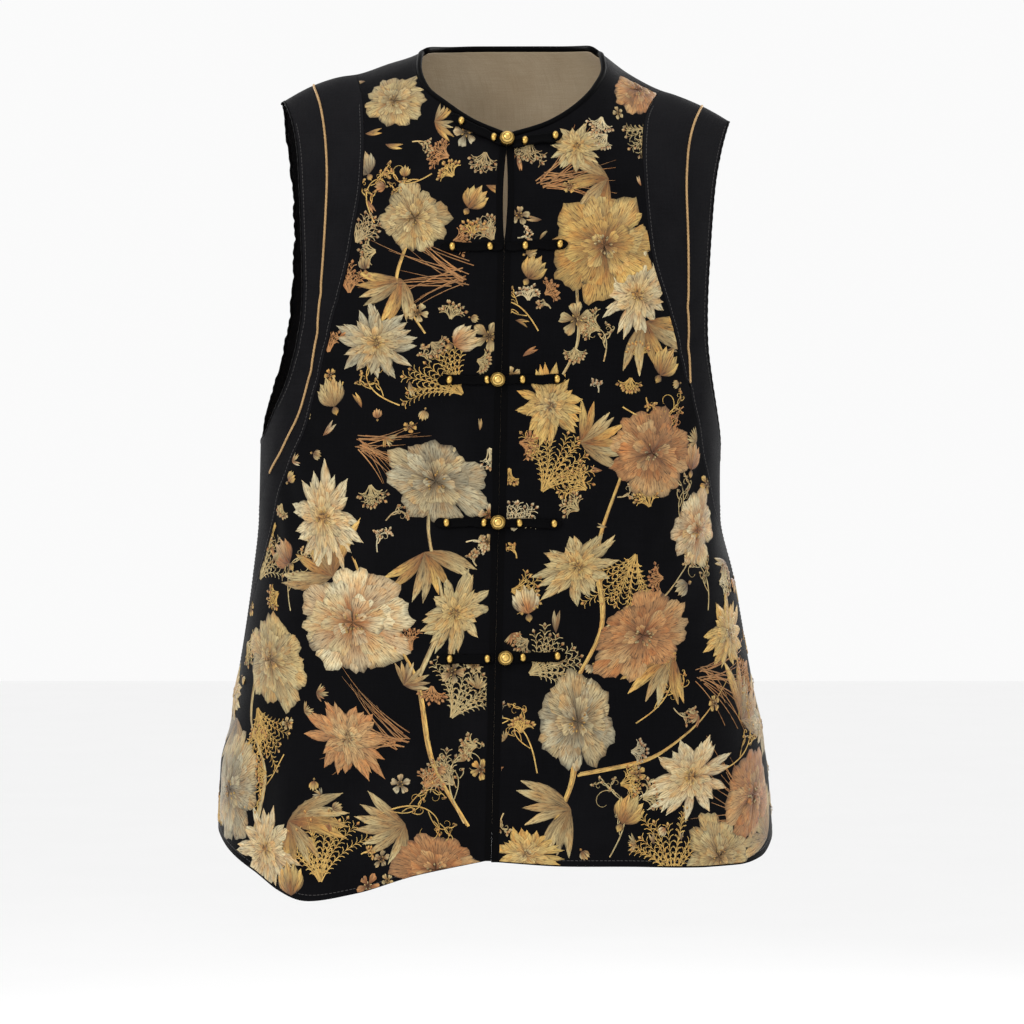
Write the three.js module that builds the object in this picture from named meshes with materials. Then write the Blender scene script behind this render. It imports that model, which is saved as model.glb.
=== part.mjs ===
// An embroidered silk waistcoat with a centre-front opening, worn form, hollow inside.
// Millimetres, +Z up, the front faces -Y, -X and +X are the viewer's left and right.
// The origin is between the shoulders, at the height of the neck points, where a wearer holds it up.
//
// Every cloth piece is a thin wall cut from one smooth surface. A place on that surface is a side
// (-1 or 1), an angle round the body (0 at centre front, 90 at the side, 180 at centre back) and a
// height z. Seam lines are short tables of distance from the centre line against height, and pieces
// that share a seam have their rows at the same heights along it.
import * as THREE from "three";

// ---------------------------------------------------------------- driving dimensions
const WALL = 2.0; // embroidered silk with its backing
const LINING = { wall: 1.0, gap: 1.2, shorter: 8 };
const SEAM = 0.3; // gap between pieces that are sewn together
const LEFT = -1;
const RIGHT = 1;
const FRONT = "front";
const BACK = "back";

const SQUARENESS = 0.08; // how much fuller than an ellipse a body section is
const SHOULDER_ROUND = { front: 170, back: 130 }; // height over which the shoulders round away
const CENTRE = { atOrigin: 4, lean: 0.021 }; // the centre line leans towards -X going down

const EDGE_BINDING = { width: 5.0, thick: 2.4 }; // black binding down each front edge
const NECK_BINDING_RADIUS = 2.1;
const NECK_GAP = 0.8; // the binding bends more sharply than the cloth beside it
const PIPING_RADIUS = 1.2;
const PIPING_LIFT = 0.9; // the cord stands proud of the seam it lies in
const PIPING_ROOM = PIPING_RADIUS + 2.5 * SEAM; // the cord crosses the rows at a slant
const SIDE_BORDER = 6; // the side band's least width, down the side slits
const INNER_BORDER = 3;

const STRAP = { width: 8.0, thick: 2.2, inner: 5.6, outer: 52 }; // frog fastening straps
const STUD = { across: 5.2, along: 7.0, high: 3.8 };
const STUD_AT = { left: [42, 11.5], right: [17, 45] };
const BALL_RADIUS = 6.3;

const FRONT_GAP = { widest: 3.4, top: -90, bottom: -166 }; // the fronts part a little below the neck

// Body sections: half width to each side, and depth in front of and behind the shoulder line.
const SECTIONS = [
  { z: 40, left: 203, right: 193, front: 92, back: 86 },
  { z: -40, left: 203, right: 193, front: 98, back: 92 },
  { z: -120, left: 202, right: 190, front: 105, back: 99 },
  { z: -200, left: 201, right: 188, front: 111, back: 101 },
  { z: -280, left: 203, right: 186, front: 113, back: 98 },
  { z: -340, left: 203, right: 186, front: 112, back: 95 },
  { z: -390, left: 203, right: 187, front: 113, back: 96 },
  { z: -440, left: 207, right: 199, front: 118, back: 104 },
  { z: -520, left: 217, right: 215, front: 129, back: 118 },
  { z: -565, left: 223, right: 224, front: 136, back: 126 },
  { z: -600, left: 231, right: 231, front: 141, back: 132 },
  { z: -660, left: 232, right: 237, front: 148, back: 140 },
  { z: -730, left: 230, right: 242, front: 152, back: 145 },
];

// Height of the shoulder line against distance from the centre. Inside the neck it is the crown
// that the collar's back half is cut from.
const RIDGE = [
  { x: 0, left: 36, right: 36 },
  { x: 40, left: 27, right: 27 },
  { x: 70, left: 5, right: 8 },
  { x: 82, left: -1, right: -1 },
  { x: 101, left: -7, right: -15 },
  { x: 128, left: -16, right: -29 },
  { x: 142, left: -18, right: -33.5 },
  { x: 163, left: -24.5, right: -42 },
  { x: 187, left: -37, right: -55 },
  { x: 206, left: -50, right: -68 },
];

// Neckline from the shoulder line (share 0) down to centre front or centre back (share 1).
const NECKLINE = {
  front: [
    { share: 0, leftX: 74, leftZ: 3, rightX: 78, rightZ: 2 },
    { share: 0.2, leftX: 75, leftZ: -13, rightX: 80, rightZ: -15 },
    { share: 0.4, leftX: 68, leftZ: -33, rightX: 73, rightZ: -32 },
    { share: 0.6, leftX: 52, leftZ: -48, rightX: 58, rightZ: -50 },
    { share: 0.8, leftX: 28, leftZ: -65, rightX: 33, rightZ: -67 },
    { share: 1, leftX: 2.8, leftZ: -76, rightX: 2.8, rightZ: -77 },
  ],
  back: [
    { share: 0, leftX: 74, leftZ: 3, rightX: 78, rightZ: 2 },
    { share: 0.25, leftX: 63, leftZ: 8, rightX: 66, rightZ: 9 },
    { share: 0.6, leftX: 34, leftZ: 12, rightX: 36, rightZ: 12 },
    { share: 1, leftX: 0, leftZ: 13, rightX: 0, rightZ: 13 },
  ],
};

// Seam lines as distance from the centre line. panel: edge of the embroidered panel, piping: the
// gold cord (and the panel's edge below the inner band), edge: the armhole.
const ROUND = 300; // past the body's half width: the line has gone round to the side
const SEAMS = {
  front: [
    { z: -20, panelL: 129, panelR: 135, pipingL: 168, pipingR: 180, edgeL: 205, edgeR: 205 },
    { z: -36, panelL: 122, panelR: 126, pipingL: 160, pipingR: 169, edgeL: 191, edgeR: 196 },
    { z: -55, panelL: 120, panelR: 115, pipingL: 154.5, pipingR: 158.5, edgeL: 181.5, edgeR: 188 },
    { z: -84, panelL: 118.5, panelR: 113.5, pipingL: 150, pipingR: 151.5, edgeL: 175, edgeR: 180 },
    { z: -115, panelL: 119, panelR: 115, pipingL: 148, pipingR: 150, edgeL: 172, edgeR: 175 },
    { z: -150, panelL: 124, panelR: 118.5, pipingL: 148.5, pipingR: 151.5, edgeL: 169.5, edgeR: 172.5 },
    { z: -180, panelL: 128, panelR: 123, pipingL: 149.5, pipingR: 152.5, edgeL: 167.5, edgeR: 171 },
    { z: -212, panelL: 136, panelR: 134, pipingL: 151.5, pipingR: 153, edgeL: 166.5, edgeR: 170 },
    { z: -240, panelL: 143, panelR: 143, pipingL: 153.5, pipingR: 154, edgeL: 169.5, edgeR: 170.5 },
    { z: -278, panelL: 151, panelR: 152, pipingL: 159.5, pipingR: 156.5, edgeL: 178.5, edgeR: 176 },
    { z: -305, panelL: 158.5, panelR: 161, pipingL: 168, pipingR: 162, edgeL: 191, edgeR: 181.5 },
    { z: -330, panelL: 167, panelR: 167.5, pipingL: 179.5, pipingR: 167.5, edgeL: ROUND, edgeR: 186 },
    { z: -355, panelL: 178.5, panelR: 173, pipingL: 193, pipingR: 173, edgeL: ROUND, edgeR: ROUND },
    { z: -382, panelL: 186, panelR: 179, pipingL: ROUND, pipingR: 179, edgeL: ROUND, edgeR: ROUND },
    { z: -415, panelL: 192, panelR: 191, pipingL: ROUND, pipingR: 191, edgeL: ROUND, edgeR: ROUND },
    { z: -450, panelL: 202.5, panelR: ROUND, pipingL: ROUND, pipingR: ROUND, edgeL: ROUND, edgeR: ROUND },
    { z: -495, panelL: 212, panelR: ROUND, pipingL: ROUND, pipingR: ROUND, edgeL: ROUND, edgeR: ROUND },
    { z: -540, panelL: ROUND, panelR: ROUND, pipingL: ROUND, pipingR: ROUND, edgeL: ROUND, edgeR: ROUND },
  ],
  back: [
    { z: -20, panelL: 129, panelR: 135, pipingL: 168, pipingR: 180, edgeL: 205, edgeR: 205 },
    { z: -36, panelL: 122, panelR: 126, pipingL: 160, pipingR: 169, edgeL: 191, edgeR: 196 },
    { z: -55, panelL: 120, panelR: 116, pipingL: 155, pipingR: 158.5, edgeL: 189.5, edgeR: 188 },
    { z: -84, panelL: 119, panelR: 115, pipingL: 151, pipingR: 152, edgeL: 185.5, edgeR: 181 },
    { z: -115, panelL: 120, panelR: 116, pipingL: 149.5, pipingR: 150.5, edgeL: 182, edgeR: 177 },
    { z: -150, panelL: 124, panelR: 119, pipingL: 150, pipingR: 151, edgeL: 180.5, edgeR: 174.5 },
    { z: -180, panelL: 128, panelR: 124, pipingL: 151, pipingR: 152, edgeL: 181, edgeR: 173 },
    { z: -212, panelL: 135, panelR: 132, pipingL: 153, pipingR: 153, edgeL: 182.5, edgeR: 172.5 },
    { z: -240, panelL: 142, panelR: 141, pipingL: 155, pipingR: 154.5, edgeL: 186, edgeR: 173.5 },
    { z: -278, panelL: 152, panelR: 150, pipingL: 159, pipingR: 157, edgeL: 194, edgeR: 178 },
    { z: -305, panelL: 158, panelR: 155, pipingL: 162.5, pipingR: 159.5, edgeL: 201, edgeR: 182.5 },
    { z: -330, panelL: 164, panelR: 161, pipingL: 166, pipingR: 163, edgeL: ROUND, edgeR: 186 },
    { z: -382, panelL: 173, panelR: 170, pipingL: 173, pipingR: 170, edgeL: ROUND, edgeR: ROUND },
    { z: -495, panelL: 194, panelR: 192, pipingL: 194, pipingR: 192, edgeL: ROUND, edgeR: ROUND },
    { z: -700, panelL: 216, panelR: 218, pipingL: 216, pipingR: 218, edgeL: ROUND, edgeR: ROUND },
  ],
};

// Heights at which every piece that follows a seam has a row, below the curve of the shoulder.
const STATIONS = [
  -76, -95, -115, -135, -157, -180, -203, -228, -254, -280, -305, -330, -355, -382, -415, -450, -495,
  -540, -580, -620,
];
const SHOULDER_ROWS = 4;

// Lowest station of the inner band and of the piping on each side. The side bands run to the hem.
const INNER_END = { front: { left: -540, right: -280 }, back: { left: -305, right: -305 } };
const PIPING_END = { front: { left: -355, right: -280 }, back: { left: -305, right: -305 } };

// Hem height against the angle round the body.
const HEM = [
  { angle: 0, left: -669, right: -670 },
  { angle: 13, left: -681, right: -674 },
  { angle: 26, left: -697, right: -675 },
  { angle: 37, left: -704, right: -677 },
  { angle: 46, left: -697, right: -678 },
  { angle: 56, left: -683, right: -678 },
  { angle: 68, left: -669, right: -674 },
  { angle: 80, left: -657, right: -663 },
  { angle: 90, left: -652, right: -656 },
  { angle: 104, left: -658, right: -662 },
  { angle: 130, left: -668, right: -668 },
  { angle: 180, left: -672, right: -672 },
];

// Side seam between the front and back pieces, and the slit that opens it near the hem.
const SIDE_SEAM = [
  { z: 0, angle: 90, slit: 0 },
  { z: -420, angle: 90, slit: 0 },
  { z: -520, angle: 93, slit: 0 },
  { z: -580, angle: 94, slit: 0 },
  { z: -730, angle: 94, slit: 5 },
];

// Frog fastenings down the front: strap height at the centre, its span, its climb to each outer end, its
// shift along the surface, the strap's lift above the edge binding, and where its ball sits.
const FROGS = [
  { z: -86, span: 0.87, climbLeft: 27, climbRight: 9.5, shift: 0, lift: 1.2, ball: 0.4 },
  { z: -170, span: 1, climbLeft: 0, climbRight: 2.4, shift: 0, lift: 0, ball: null },
  { z: -279, span: 1, climbLeft: 0, climbRight: 1, shift: 0, lift: 0, ball: -2.8 },
  { z: -396, span: 1, climbLeft: 0, climbRight: -1, shift: 0, lift: 0, ball: -0.3 },
  { z: -507, span: 1, climbLeft: 0, climbRight: 2.4, shift: 5, lift: 0, ball: 8 },
];

// Shares of the neckline at which the panels have columns and the binding has rings.
const NECK_SHARES = {
  front: [0, 0.045, 0.15, 0.29, 0.43, 0.57, 0.71, 0.86, 1],
  back: [0, 0.2, 0.4, 0.6, 0.8, 1],
};
const NECK_COLUMNS = { front: 8, back: 5 };
const SHOULDER_COLUMNS = { front: 5, back: 3 };

const COLOURS = {
  silk: { color: 0x0d0d10, roughness: 0.55, metalness: 0 },
  band: { color: 0x141417, roughness: 0.75, metalness: 0 },
  binding: { color: 0x060607, roughness: 0.5, metalness: 0 },
  lining: { color: 0xcdbb9f, roughness: 0.7, metalness: 0 },
  cord: { color: 0xc39a63, roughness: 0.5, metalness: 0 },
  brass: { color: 0xd2a03c, roughness: 0.25, metalness: 1 },
};

// ---------------------------------------------------------------- tables and angles
const radians = (degrees) => (degrees * Math.PI) / 180;
const mix = (a, b, share) => a + (b - a) * share;
const clamp = (value, low, high) => Math.min(high, Math.max(low, value));
const smooth = (share) => share * share * (3 - 2 * share);
const sideName = (side) => (side === LEFT ? "left" : "right");

// Value of a table's column at a key, on a smooth curve through the rows.
function lookUp(rows, keyName, column, key) {
  const last = rows.length - 1;
  const sign = rows[0][keyName] > rows[last][keyName] ? -1 : 1;
  const k = sign * key;
  const keys = rows.map((row) => sign * row[keyName]);
  const values = rows.map((row) => row[column]);
  if (k <= keys[0]) return values[0];
  if (k >= keys[last]) return values[last];
  let i = 0;
  while (k > keys[i + 1]) i += 1;
  const slope = (a, b) => (values[b] - values[a]) / (keys[b] - keys[a]);
  const tangent = (j) => {
    if (j === 0) return slope(0, 1);
    if (j === last) return slope(last - 1, last);
    const before = slope(j - 1, j);
    const after = slope(j, j + 1);
    return before * after <= 0 ? 0 : (2 * before * after) / (before + after);
  };
  const h = keys[i + 1] - keys[i];
  const u = (k - keys[i]) / h;
  const u2 = u * u;
  const u3 = u2 * u;
  return (
    (2 * u3 - 3 * u2 + 1) * values[i] +
    (u3 - 2 * u2 + u) * h * tangent(i) +
    (3 * u2 - 2 * u3) * values[i + 1] +
    (u3 - u2) * h * tangent(i + 1)
  );
}

// ---------------------------------------------------------------- the body surface
const centreX = (z) => CENTRE.atOrigin + CENTRE.lean * z;
const halfWidth = (side, z) => lookUp(SECTIONS, "z", sideName(side), z);
const depthAt = (face, z) => lookUp(SECTIONS, "z", face, z);
const ridgeZ = (side, distance) => lookUp(RIDGE, "x", sideName(side), Math.abs(distance));
const across = (angle) => Math.sin(angle) * (1 + SQUARENESS * Math.cos(angle) ** 2);
const along = (angle) => Math.cos(angle) * (1 + SQUARENESS * Math.sin(angle) ** 2);

// The angle at which a section is a given distance from the centre line, up to the side.
function angleAt(side, distance, z) {
  const share = distance / halfWidth(side, z);
  if (share >= 1) return Math.PI / 2;
  let low = -0.2;
  let high = Math.PI / 2;
  for (let i = 0; i < 48; i += 1) {
    const middle = (low + high) / 2;
    if (across(middle) < share) low = middle;
    else high = middle;
  }
  return (low + high) / 2;
}

// A point of the surface. Above the shoulder line it carries on down the other side.
function surfacePoint(side, angle, z) {
  const distance = halfWidth(side, z) * across(angle);
  const ridge = ridgeZ(side, distance);
  if (z > ridge + 1e-6) return surfacePoint(side, Math.PI - angle, 2 * ridge - z);
  const face = Math.cos(angle) >= 0 ? FRONT : BACK;
  const below = clamp((ridge - z) / SHOULDER_ROUND[face], 0, 1);
  const rounding = Math.sqrt(1 - (1 - below) ** 2);
  const y = -depthAt(face, z) * along(angle) * rounding;
  return new THREE.Vector3(centreX(z) + side * distance, y, z);
}

function surfaceNormal(side, angle, z) {
  const turn = 0.004;
  const step = 0.4;
  const round = surfacePoint(side, angle + turn, z).sub(surfacePoint(side, angle - turn, z));
  const down = surfacePoint(side, angle, z - step).sub(surfacePoint(side, angle, z + step));
  const normal = new THREE.Vector3().crossVectors(round, down).normalize();
  return side === LEFT ? normal : normal.negate();
}

// The surface moved out by lift; the two faces keep a seam's gap between them at the shoulder.
function lifted(side, angle, z, lift, face) {
  const point = surfacePoint(side, angle, z).addScaledVector(surfaceNormal(side, angle, z), lift);
  const half = face === FRONT ? -SEAM / 2 : SEAM / 2;
  const atShoulder = ridgeZ(side, halfWidth(side, z) * across(angle)) - z < 0.01;
  point.y = atShoulder ? half : point.y + half;
  return point;
}

const onFace = (face, angle) => (face === FRONT ? angle : Math.PI - angle);
const hemZ = (side, angle) => lookUp(HEM, "angle", sideName(side), (angle * 180) / Math.PI);

// ---------------------------------------------------------------- seam lines
function seamColumn(face, line, side, z) {
  const joined = line === "panel" && z < INNER_END[face][sideName(side)];
  return (joined ? "piping" : line) + (side === LEFT ? "L" : "R");
}

// Angle of a seam line of one face at a height, moved towards the side by shift. No line comes
// closer to the side seam than the pieces beyond it need.
function seamAngle(face, line, side, z, shift) {
  const distance = lookUp(SEAMS[face], "z", seamColumn(face, line, side, z), z);
  const width = halfWidth(side, z);
  const angle = angleAt(side, distance, z);
  const rate = Math.hypot(width * Math.cos(angle), depthAt(face, z) * Math.sin(angle));
  const beyond = {
    panel: SIDE_BORDER + (z < INNER_END[face][sideName(side)] ? 0 : INNER_BORDER),
    piping: SIDE_BORDER,
    edge: SEAM / 2 + lookUp(SIDE_SEAM, "z", "slit", z) / 2,
  }[line];
  const seam = onFace(face, radians(lookUp(SIDE_SEAM, "z", "angle", z)));
  const limit = seam - (beyond - shift) / depthAt(face, z);
  const reached = distance >= width;
  const shifted = angle + shift / rate;
  return onFace(face, reached ? limit : Math.min(shifted, limit));
}

// Distance from the centre at which a seam line meets the shoulder line.
function ridgeCrossing(line, side) {
  let z = -30;
  let distance = 0;
  for (let i = 0; i < 40; i += 1) {
    distance = lookUp(SEAMS.front, "z", seamColumn(FRONT, line, side, z), z);
    z = mix(z, ridgeZ(side, distance), 0.6);
  }
  return { distance, z };
}

// Heights of the rows of pieces along a seam line, from the shoulder line to an end or the hem.
function rowHeights(face, line, side, end) {
  const top = ridgeCrossing(line, side).z;
  const upper = Array.from({ length: SHOULDER_ROWS }, (_, k) =>
    mix(top, STATIONS[0], (k / SHOULDER_ROWS) ** 2),
  );
  const lower = STATIONS.filter((z) => end === "hem" || z >= end);
  const hem = end === "hem" ? [hemZ(side, seamAngle(face, line, side, -660, 0))] : [];
  return [...upper, ...lower, ...hem];
}

// ---------------------------------------------------------------- solids
// A wall through a grid of surface places {side, angle, z, face}, thick mm thick, its middle
// lifted off the surface. placeAt takes the numbers of the column and the row.
function wall(columns, rows, placeAt, thick, lift) {
  const positions = [];
  const layer = (offset) => {
    for (let j = 0; j <= rows; j += 1) {
      for (let i = 0; i <= columns; i += 1) {
        const { side, angle, z, face } = placeAt(i, j);
        positions.push(...lifted(side, angle, z, lift + offset, face).toArray());
      }
    }
  };
  layer(thick / 2);
  layer(-thick / 2);
  const width = columns + 1;
  const count = width * (rows + 1);
  const index = [];
  const quad = (a, b, c, d) => index.push(a, b, c, a, c, d);
  for (let j = 0; j < rows; j += 1) {
    for (let i = 0; i < columns; i += 1) {
      const a = j * width + i;
      quad(a, a + width, a + width + 1, a + 1);
      quad(count + a, count + a + 1, count + a + width + 1, count + a + width);
    }
  }
  const rim = (a, b) => quad(a, b, count + b, count + a);
  for (let i = 0; i < columns; i += 1) {
    rim(i, i + 1);
    rim(rows * width + i + 1, rows * width + i);
  }
  for (let j = 0; j < rows; j += 1) {
    rim((j + 1) * width, j * width);
    rim(j * width + columns, (j + 1) * width + columns);
  }
  return closed(positions, index);
}

// A geometry with its faces turned out.
function closed(positions, index) {
  const at = (i) => new THREE.Vector3().fromArray(positions, 3 * i);
  let volume = 0;
  for (let i = 0; i < index.length; i += 3) {
    volume += at(index[i]).dot(at(index[i + 1]).cross(at(index[i + 2])));
  }
  const geometry = new THREE.BufferGeometry();
  geometry.setAttribute("position", new THREE.Float32BufferAttribute(positions, 3));
  geometry.setIndex(volume < 0 ? index.slice().reverse() : index);
  return geometry;
}

// A round cord with a ring of corners at each of its points {point, normal}, closed at both ends.
function cord(rings, radius, sides) {
  const positions = [];
  const index = [];
  rings.forEach(({ point, normal }, k) => {
    const before = rings[Math.max(k - 1, 0)].point;
    const after = rings[Math.min(k + 1, rings.length - 1)].point;
    const tangent = after.clone().sub(before).normalize();
    const cross = new THREE.Vector3().crossVectors(tangent, normal).normalize();
    const up = new THREE.Vector3().crossVectors(cross, tangent);
    for (let c = 0; c < sides; c += 1) {
      const turn = (2 * Math.PI * (c + 0.5)) / sides;
      const corner = point
        .clone()
        .addScaledVector(cross, radius * Math.cos(turn))
        .addScaledVector(up, radius * Math.sin(turn));
      positions.push(...corner.toArray());
    }
  });
  for (let k = 0; k < rings.length - 1; k += 1) {
    for (let c = 0; c < sides; c += 1) {
      const a = k * sides + c;
      const b = k * sides + ((c + 1) % sides);
      index.push(a, b, b + sides, a, b + sides, a + sides);
    }
  }
  const end = (rings.length - 1) * sides;
  for (let c = 1; c < sides - 1; c += 1) {
    index.push(0, c + 1, c);
    index.push(end, end + c, end + c + 1);
  }
  return closed(positions, index);
}

// ---------------------------------------------------------------- the waistcoat
const waistcoat = new THREE.Group();
waistcoat.name = "waistcoat";

function add(name, geometry, finish) {
  const mesh = new THREE.Mesh(geometry, new THREE.MeshStandardMaterial(COLOURS[finish]));
  mesh.name = name;
  waistcoat.add(mesh);
  return mesh;
}

// Half the distance between the two front edges at a height.
function openHalf(z) {
  const share = (z - FRONT_GAP.bottom) / (FRONT_GAP.top - FRONT_GAP.bottom);
  const parted = share > 0 && share < 1 ? FRONT_GAP.widest * Math.sin(Math.PI * share) : 0;
  return Math.max(parted, SEAM) / 2 + SEAM / 2;
}

// A place of the neckline, as distance from the centre and height.
function neckAt(face, side, share) {
  const distance = lookUp(NECKLINE[face], "share", sideName(side) + "X", share);
  const z = lookUp(NECKLINE[face], "share", sideName(side) + "Z", share);
  return { distance, z: share === 0 ? ridgeZ(side, distance) : Math.min(z, ridgeZ(side, distance)) };
}

function neckRing(face, side, share) {
  const { distance, z } = neckAt(face, side, share);
  const angle = onFace(face, angleAt(side, distance, z));
  return { point: surfacePoint(side, angle, z), normal: surfaceNormal(side, angle, z) };
}

// The neckline moved away from the opening along the cloth.
function besideNeck(face, side, share, away) {
  const step = 0.02;
  const { point, normal } = neckRing(face, side, share);
  const from = neckRing(face, side, Math.max(share - step, 0)).point;
  const to = neckRing(face, side, Math.min(share + step, 1)).point;
  const out = to.sub(from).cross(normal).normalize();
  const towardsHead = new THREE.Vector3(0, -20, 20).sub(point);
  if (out.dot(towardsHead) > 0) out.negate();
  const moved = point.addScaledVector(out, away);
  const distance = Math.abs(moved.x - centreX(moved.z));
  const ridge = ridgeZ(side, distance);
  if (share === 0) {
    const beside = neckAt(FRONT, side, 0).distance + 1.2 * away;
    return { distance: beside, z: ridgeZ(side, beside) };
  }
  return { distance, z: ridge - moved.z > 30 ? moved.z : heightAtDepth(face, side, distance, moved.y) };
}

// Near the shoulder line the cloth lies almost level, so a place is found by its depth instead.
function heightAtDepth(face, side, distance, y) {
  const ridge = ridgeZ(side, distance);
  let low = ridge - 60;
  let high = ridge;
  for (let i = 0; i < 40; i += 1) {
    const z = (low + high) / 2;
    const point = surfacePoint(side, onFace(face, angleAt(side, distance, z)), z);
    if (Math.abs(point.y) > Math.abs(y)) low = z;
    else high = z;
  }
  return high;
}

// Top edge of a panel: along the neckline, then the shoulder line out to the panel's own edge.
function topPlace(face, side, column) {
  const away = NECK_BINDING_RADIUS + NECK_GAP;
  const neck = NECK_COLUMNS[face];
  if (column <= neck) return besideNeck(face, side, NECK_SHARES[face][neck - column], away);
  const from = besideNeck(face, side, 0, away).distance;
  const to = ridgeCrossing("panel", side).distance - SEAM / 2;
  const distance = mix(from, to, (column - neck) / SHOULDER_COLUMNS[face]);
  return { distance, z: ridgeZ(side, distance) };
}

// How far down each row is, from the top edge (0) to the hem (1).
function rowShares(face, side) {
  const heights = rowHeights(face, "panel", side, "hem");
  const last = heights.length - 1;
  return heights.map((z) => (z - heights[0]) / (heights[last] - heights[0]));
}

// A place on one side of the front or back, whose inner edge is at a distance from the centre.
function panelPlace(face, side, column, row, innerDistance, shorter) {
  const columns = NECK_COLUMNS[face] + SHOULDER_COLUMNS[face];
  const acrossShare = column / columns;
  const down = rowShares(face, side)[row];
  const heights = rowHeights(face, "panel", side, "hem");
  const top = topPlace(face, side, column);
  const hemOuter = seamAngle(face, "panel", side, -660, 0);
  const z = mix(top.z, hemZ(side, mix(onFace(face, 0), hemOuter, acrossShare)) + shorter, down);
  const toAngle = (distance, height) => onFace(face, angleAt(side, distance, height));
  const corner = ridgeCrossing("panel", side).distance - SEAM / 2;
  const innerAngle = toAngle(innerDistance(z), z);
  const edgeAngle =
    row === 0 ? toAngle(corner, z) : seamAngle(face, "panel", side, heights[row], -SEAM / 2);
  const settled = smooth(clamp(down / 0.3, 0, 1));
  const neck = NECK_COLUMNS[face];
  const neckTop = topPlace(face, side, neck).distance;
  const neckAngle = mix(
    toAngle(neckTop, z),
    mix(innerAngle, edgeAngle, neck / columns),
    settled,
  );
  const overNeck = column <= neck;
  const [start, end] = overNeck ? [innerAngle, neckAngle] : [neckAngle, edgeAngle];
  const share = overNeck ? column / neck : (column - neck) / SHOULDER_COLUMNS[face];
  const topStart = toAngle(overNeck ? innerDistance(top.z) : neckTop, top.z);
  const topEnd = toAngle(overNeck ? neckTop : corner, top.z);
  const reach = (toAngle(top.distance, top.z) - topStart) / (topEnd - topStart);
  const topShare = share === 0 || share === 1 ? share : reach;
  return { side, angle: mix(start, end, mix(topShare, share, settled)), z, face };
}

const frontInner = (z) => openHalf(z) + EDGE_BINDING.width + SEAM;

function addFrontPanels() {
  [LEFT, RIGHT].forEach((side) => {
    const columns = NECK_COLUMNS.front + SHOULDER_COLUMNS.front;
    const rows = rowShares(FRONT, side).length - 1;
    const place = (i, j) => panelPlace(FRONT, side, i, j, frontInner, 0);
    add("front_panel_" + sideName(side), wall(columns, rows, place, WALL, 0), "silk");
  });
}

// The back is cut in two halves with a seam at centre back, and its lining is one piece.
function addBack() {
  const half = NECK_COLUMNS.back + SHOULDER_COLUMNS.back;
  const rows = rowShares(BACK, LEFT).length - 1;
  [LEFT, RIGHT].forEach((side) => {
    const place = (i, j) => panelPlace(BACK, side, i, j, () => SEAM / 2, 0);
    add("back_panel_" + sideName(side), wall(half, rows, place, WALL, 0), "silk");
  });
  const place = (i, j) =>
    panelPlace(BACK, i < half ? LEFT : RIGHT, Math.abs(i - half), j, () => 0, LINING.shorter);
  const lift = -(WALL + LINING.wall) / 2 - LINING.gap;
  add("back_lining", wall(2 * half, rows, place, LINING.wall, lift), "lining");
}

// A strip from the shoulder line down, between two seam lines of one face.
function strip(face, side, from, to, end, columns) {
  const heights = [from, to].map(({ line }) => rowHeights(face, line, side, end));
  const tops = [from, to].map(({ line, shift }) => ridgeCrossing(line, side).distance + shift(0));
  const rows = heights[0].length - 1;
  const place = (i, j) => {
    const share = i / columns;
    if (j === 0) {
      const distance = mix(tops[0], tops[1], share);
      const z = ridgeZ(side, distance);
      return { side, angle: onFace(face, angleAt(side, distance, z)), z, face };
    }
    const z = mix(heights[0][j], heights[1][j], share);
    const a = seamAngle(face, from.line, side, heights[0][j], from.shift(z));
    const b = seamAngle(face, to.line, side, heights[1][j], to.shift(z));
    return { side, angle: mix(a, b, share), z, face };
  };
  return wall(columns, rows, place, WALL, 0);
}

function addBands() {
  [FRONT, BACK].forEach((face) => {
    [LEFT, RIGHT].forEach((side) => {
      const name = face + "_" + sideName(side);
      const cordEnd = PIPING_END[face][sideName(side)];
      const room = (z) => (z >= cordEnd ? PIPING_ROOM : SEAM / 2);
      const panel = { line: "panel", shift: () => SEAM / 2 };
      const pipingIn = { line: "piping", shift: (z) => -room(z) };
      const pipingOut = { line: "piping", shift: room };
      const edge = { line: "edge", shift: () => 0 };
      const innerEnd = INNER_END[face][sideName(side)];
      add("inner_band_" + name, strip(face, side, panel, pipingIn, innerEnd, 2), "band");
      add("side_band_" + name, strip(face, side, pipingOut, edge, "hem", 3), "band");
    });
  });
}

// The gold cord of one side, from the front up over the shoulder and down the back.
function addPiping() {
  [LEFT, RIGHT].forEach((side) => {
    const run = (face) =>
      rowHeights(face, "piping", side, PIPING_END[face][sideName(side)]).map((z, k) => {
        const { distance } = ridgeCrossing("piping", side);
        const angle =
          k === 0 ? onFace(face, angleAt(side, distance, z)) : seamAngle(face, "piping", side, z, 0);
        const normal = surfaceNormal(side, angle, z);
        const point = k === 0
          ? surfacePoint(side, angle, z).addScaledVector(normal, PIPING_LIFT)
          : lifted(side, angle, z, PIPING_LIFT, face);
        return { point, normal };
      });
    const rings = [...run(FRONT).reverse(), ...run(BACK).slice(1)];
    add("piping_" + sideName(side), cord(rings, PIPING_RADIUS, 6), "cord");
  });
}

// The rolled binding round the neck, from one front edge over the back to the other.
function addNeckBinding() {
  const ringsOf = (face, side) =>
    NECK_SHARES[face].map((share) => neckRing(face, side, share));
  const rings = [
    ...ringsOf(FRONT, LEFT).reverse(),
    ...ringsOf(BACK, LEFT).slice(1),
    ...ringsOf(BACK, RIGHT).reverse().slice(1),
    ...ringsOf(FRONT, RIGHT).slice(1),
  ];
  add("neck_binding", cord(rings, NECK_BINDING_RADIUS, 8), "binding");
}

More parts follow.
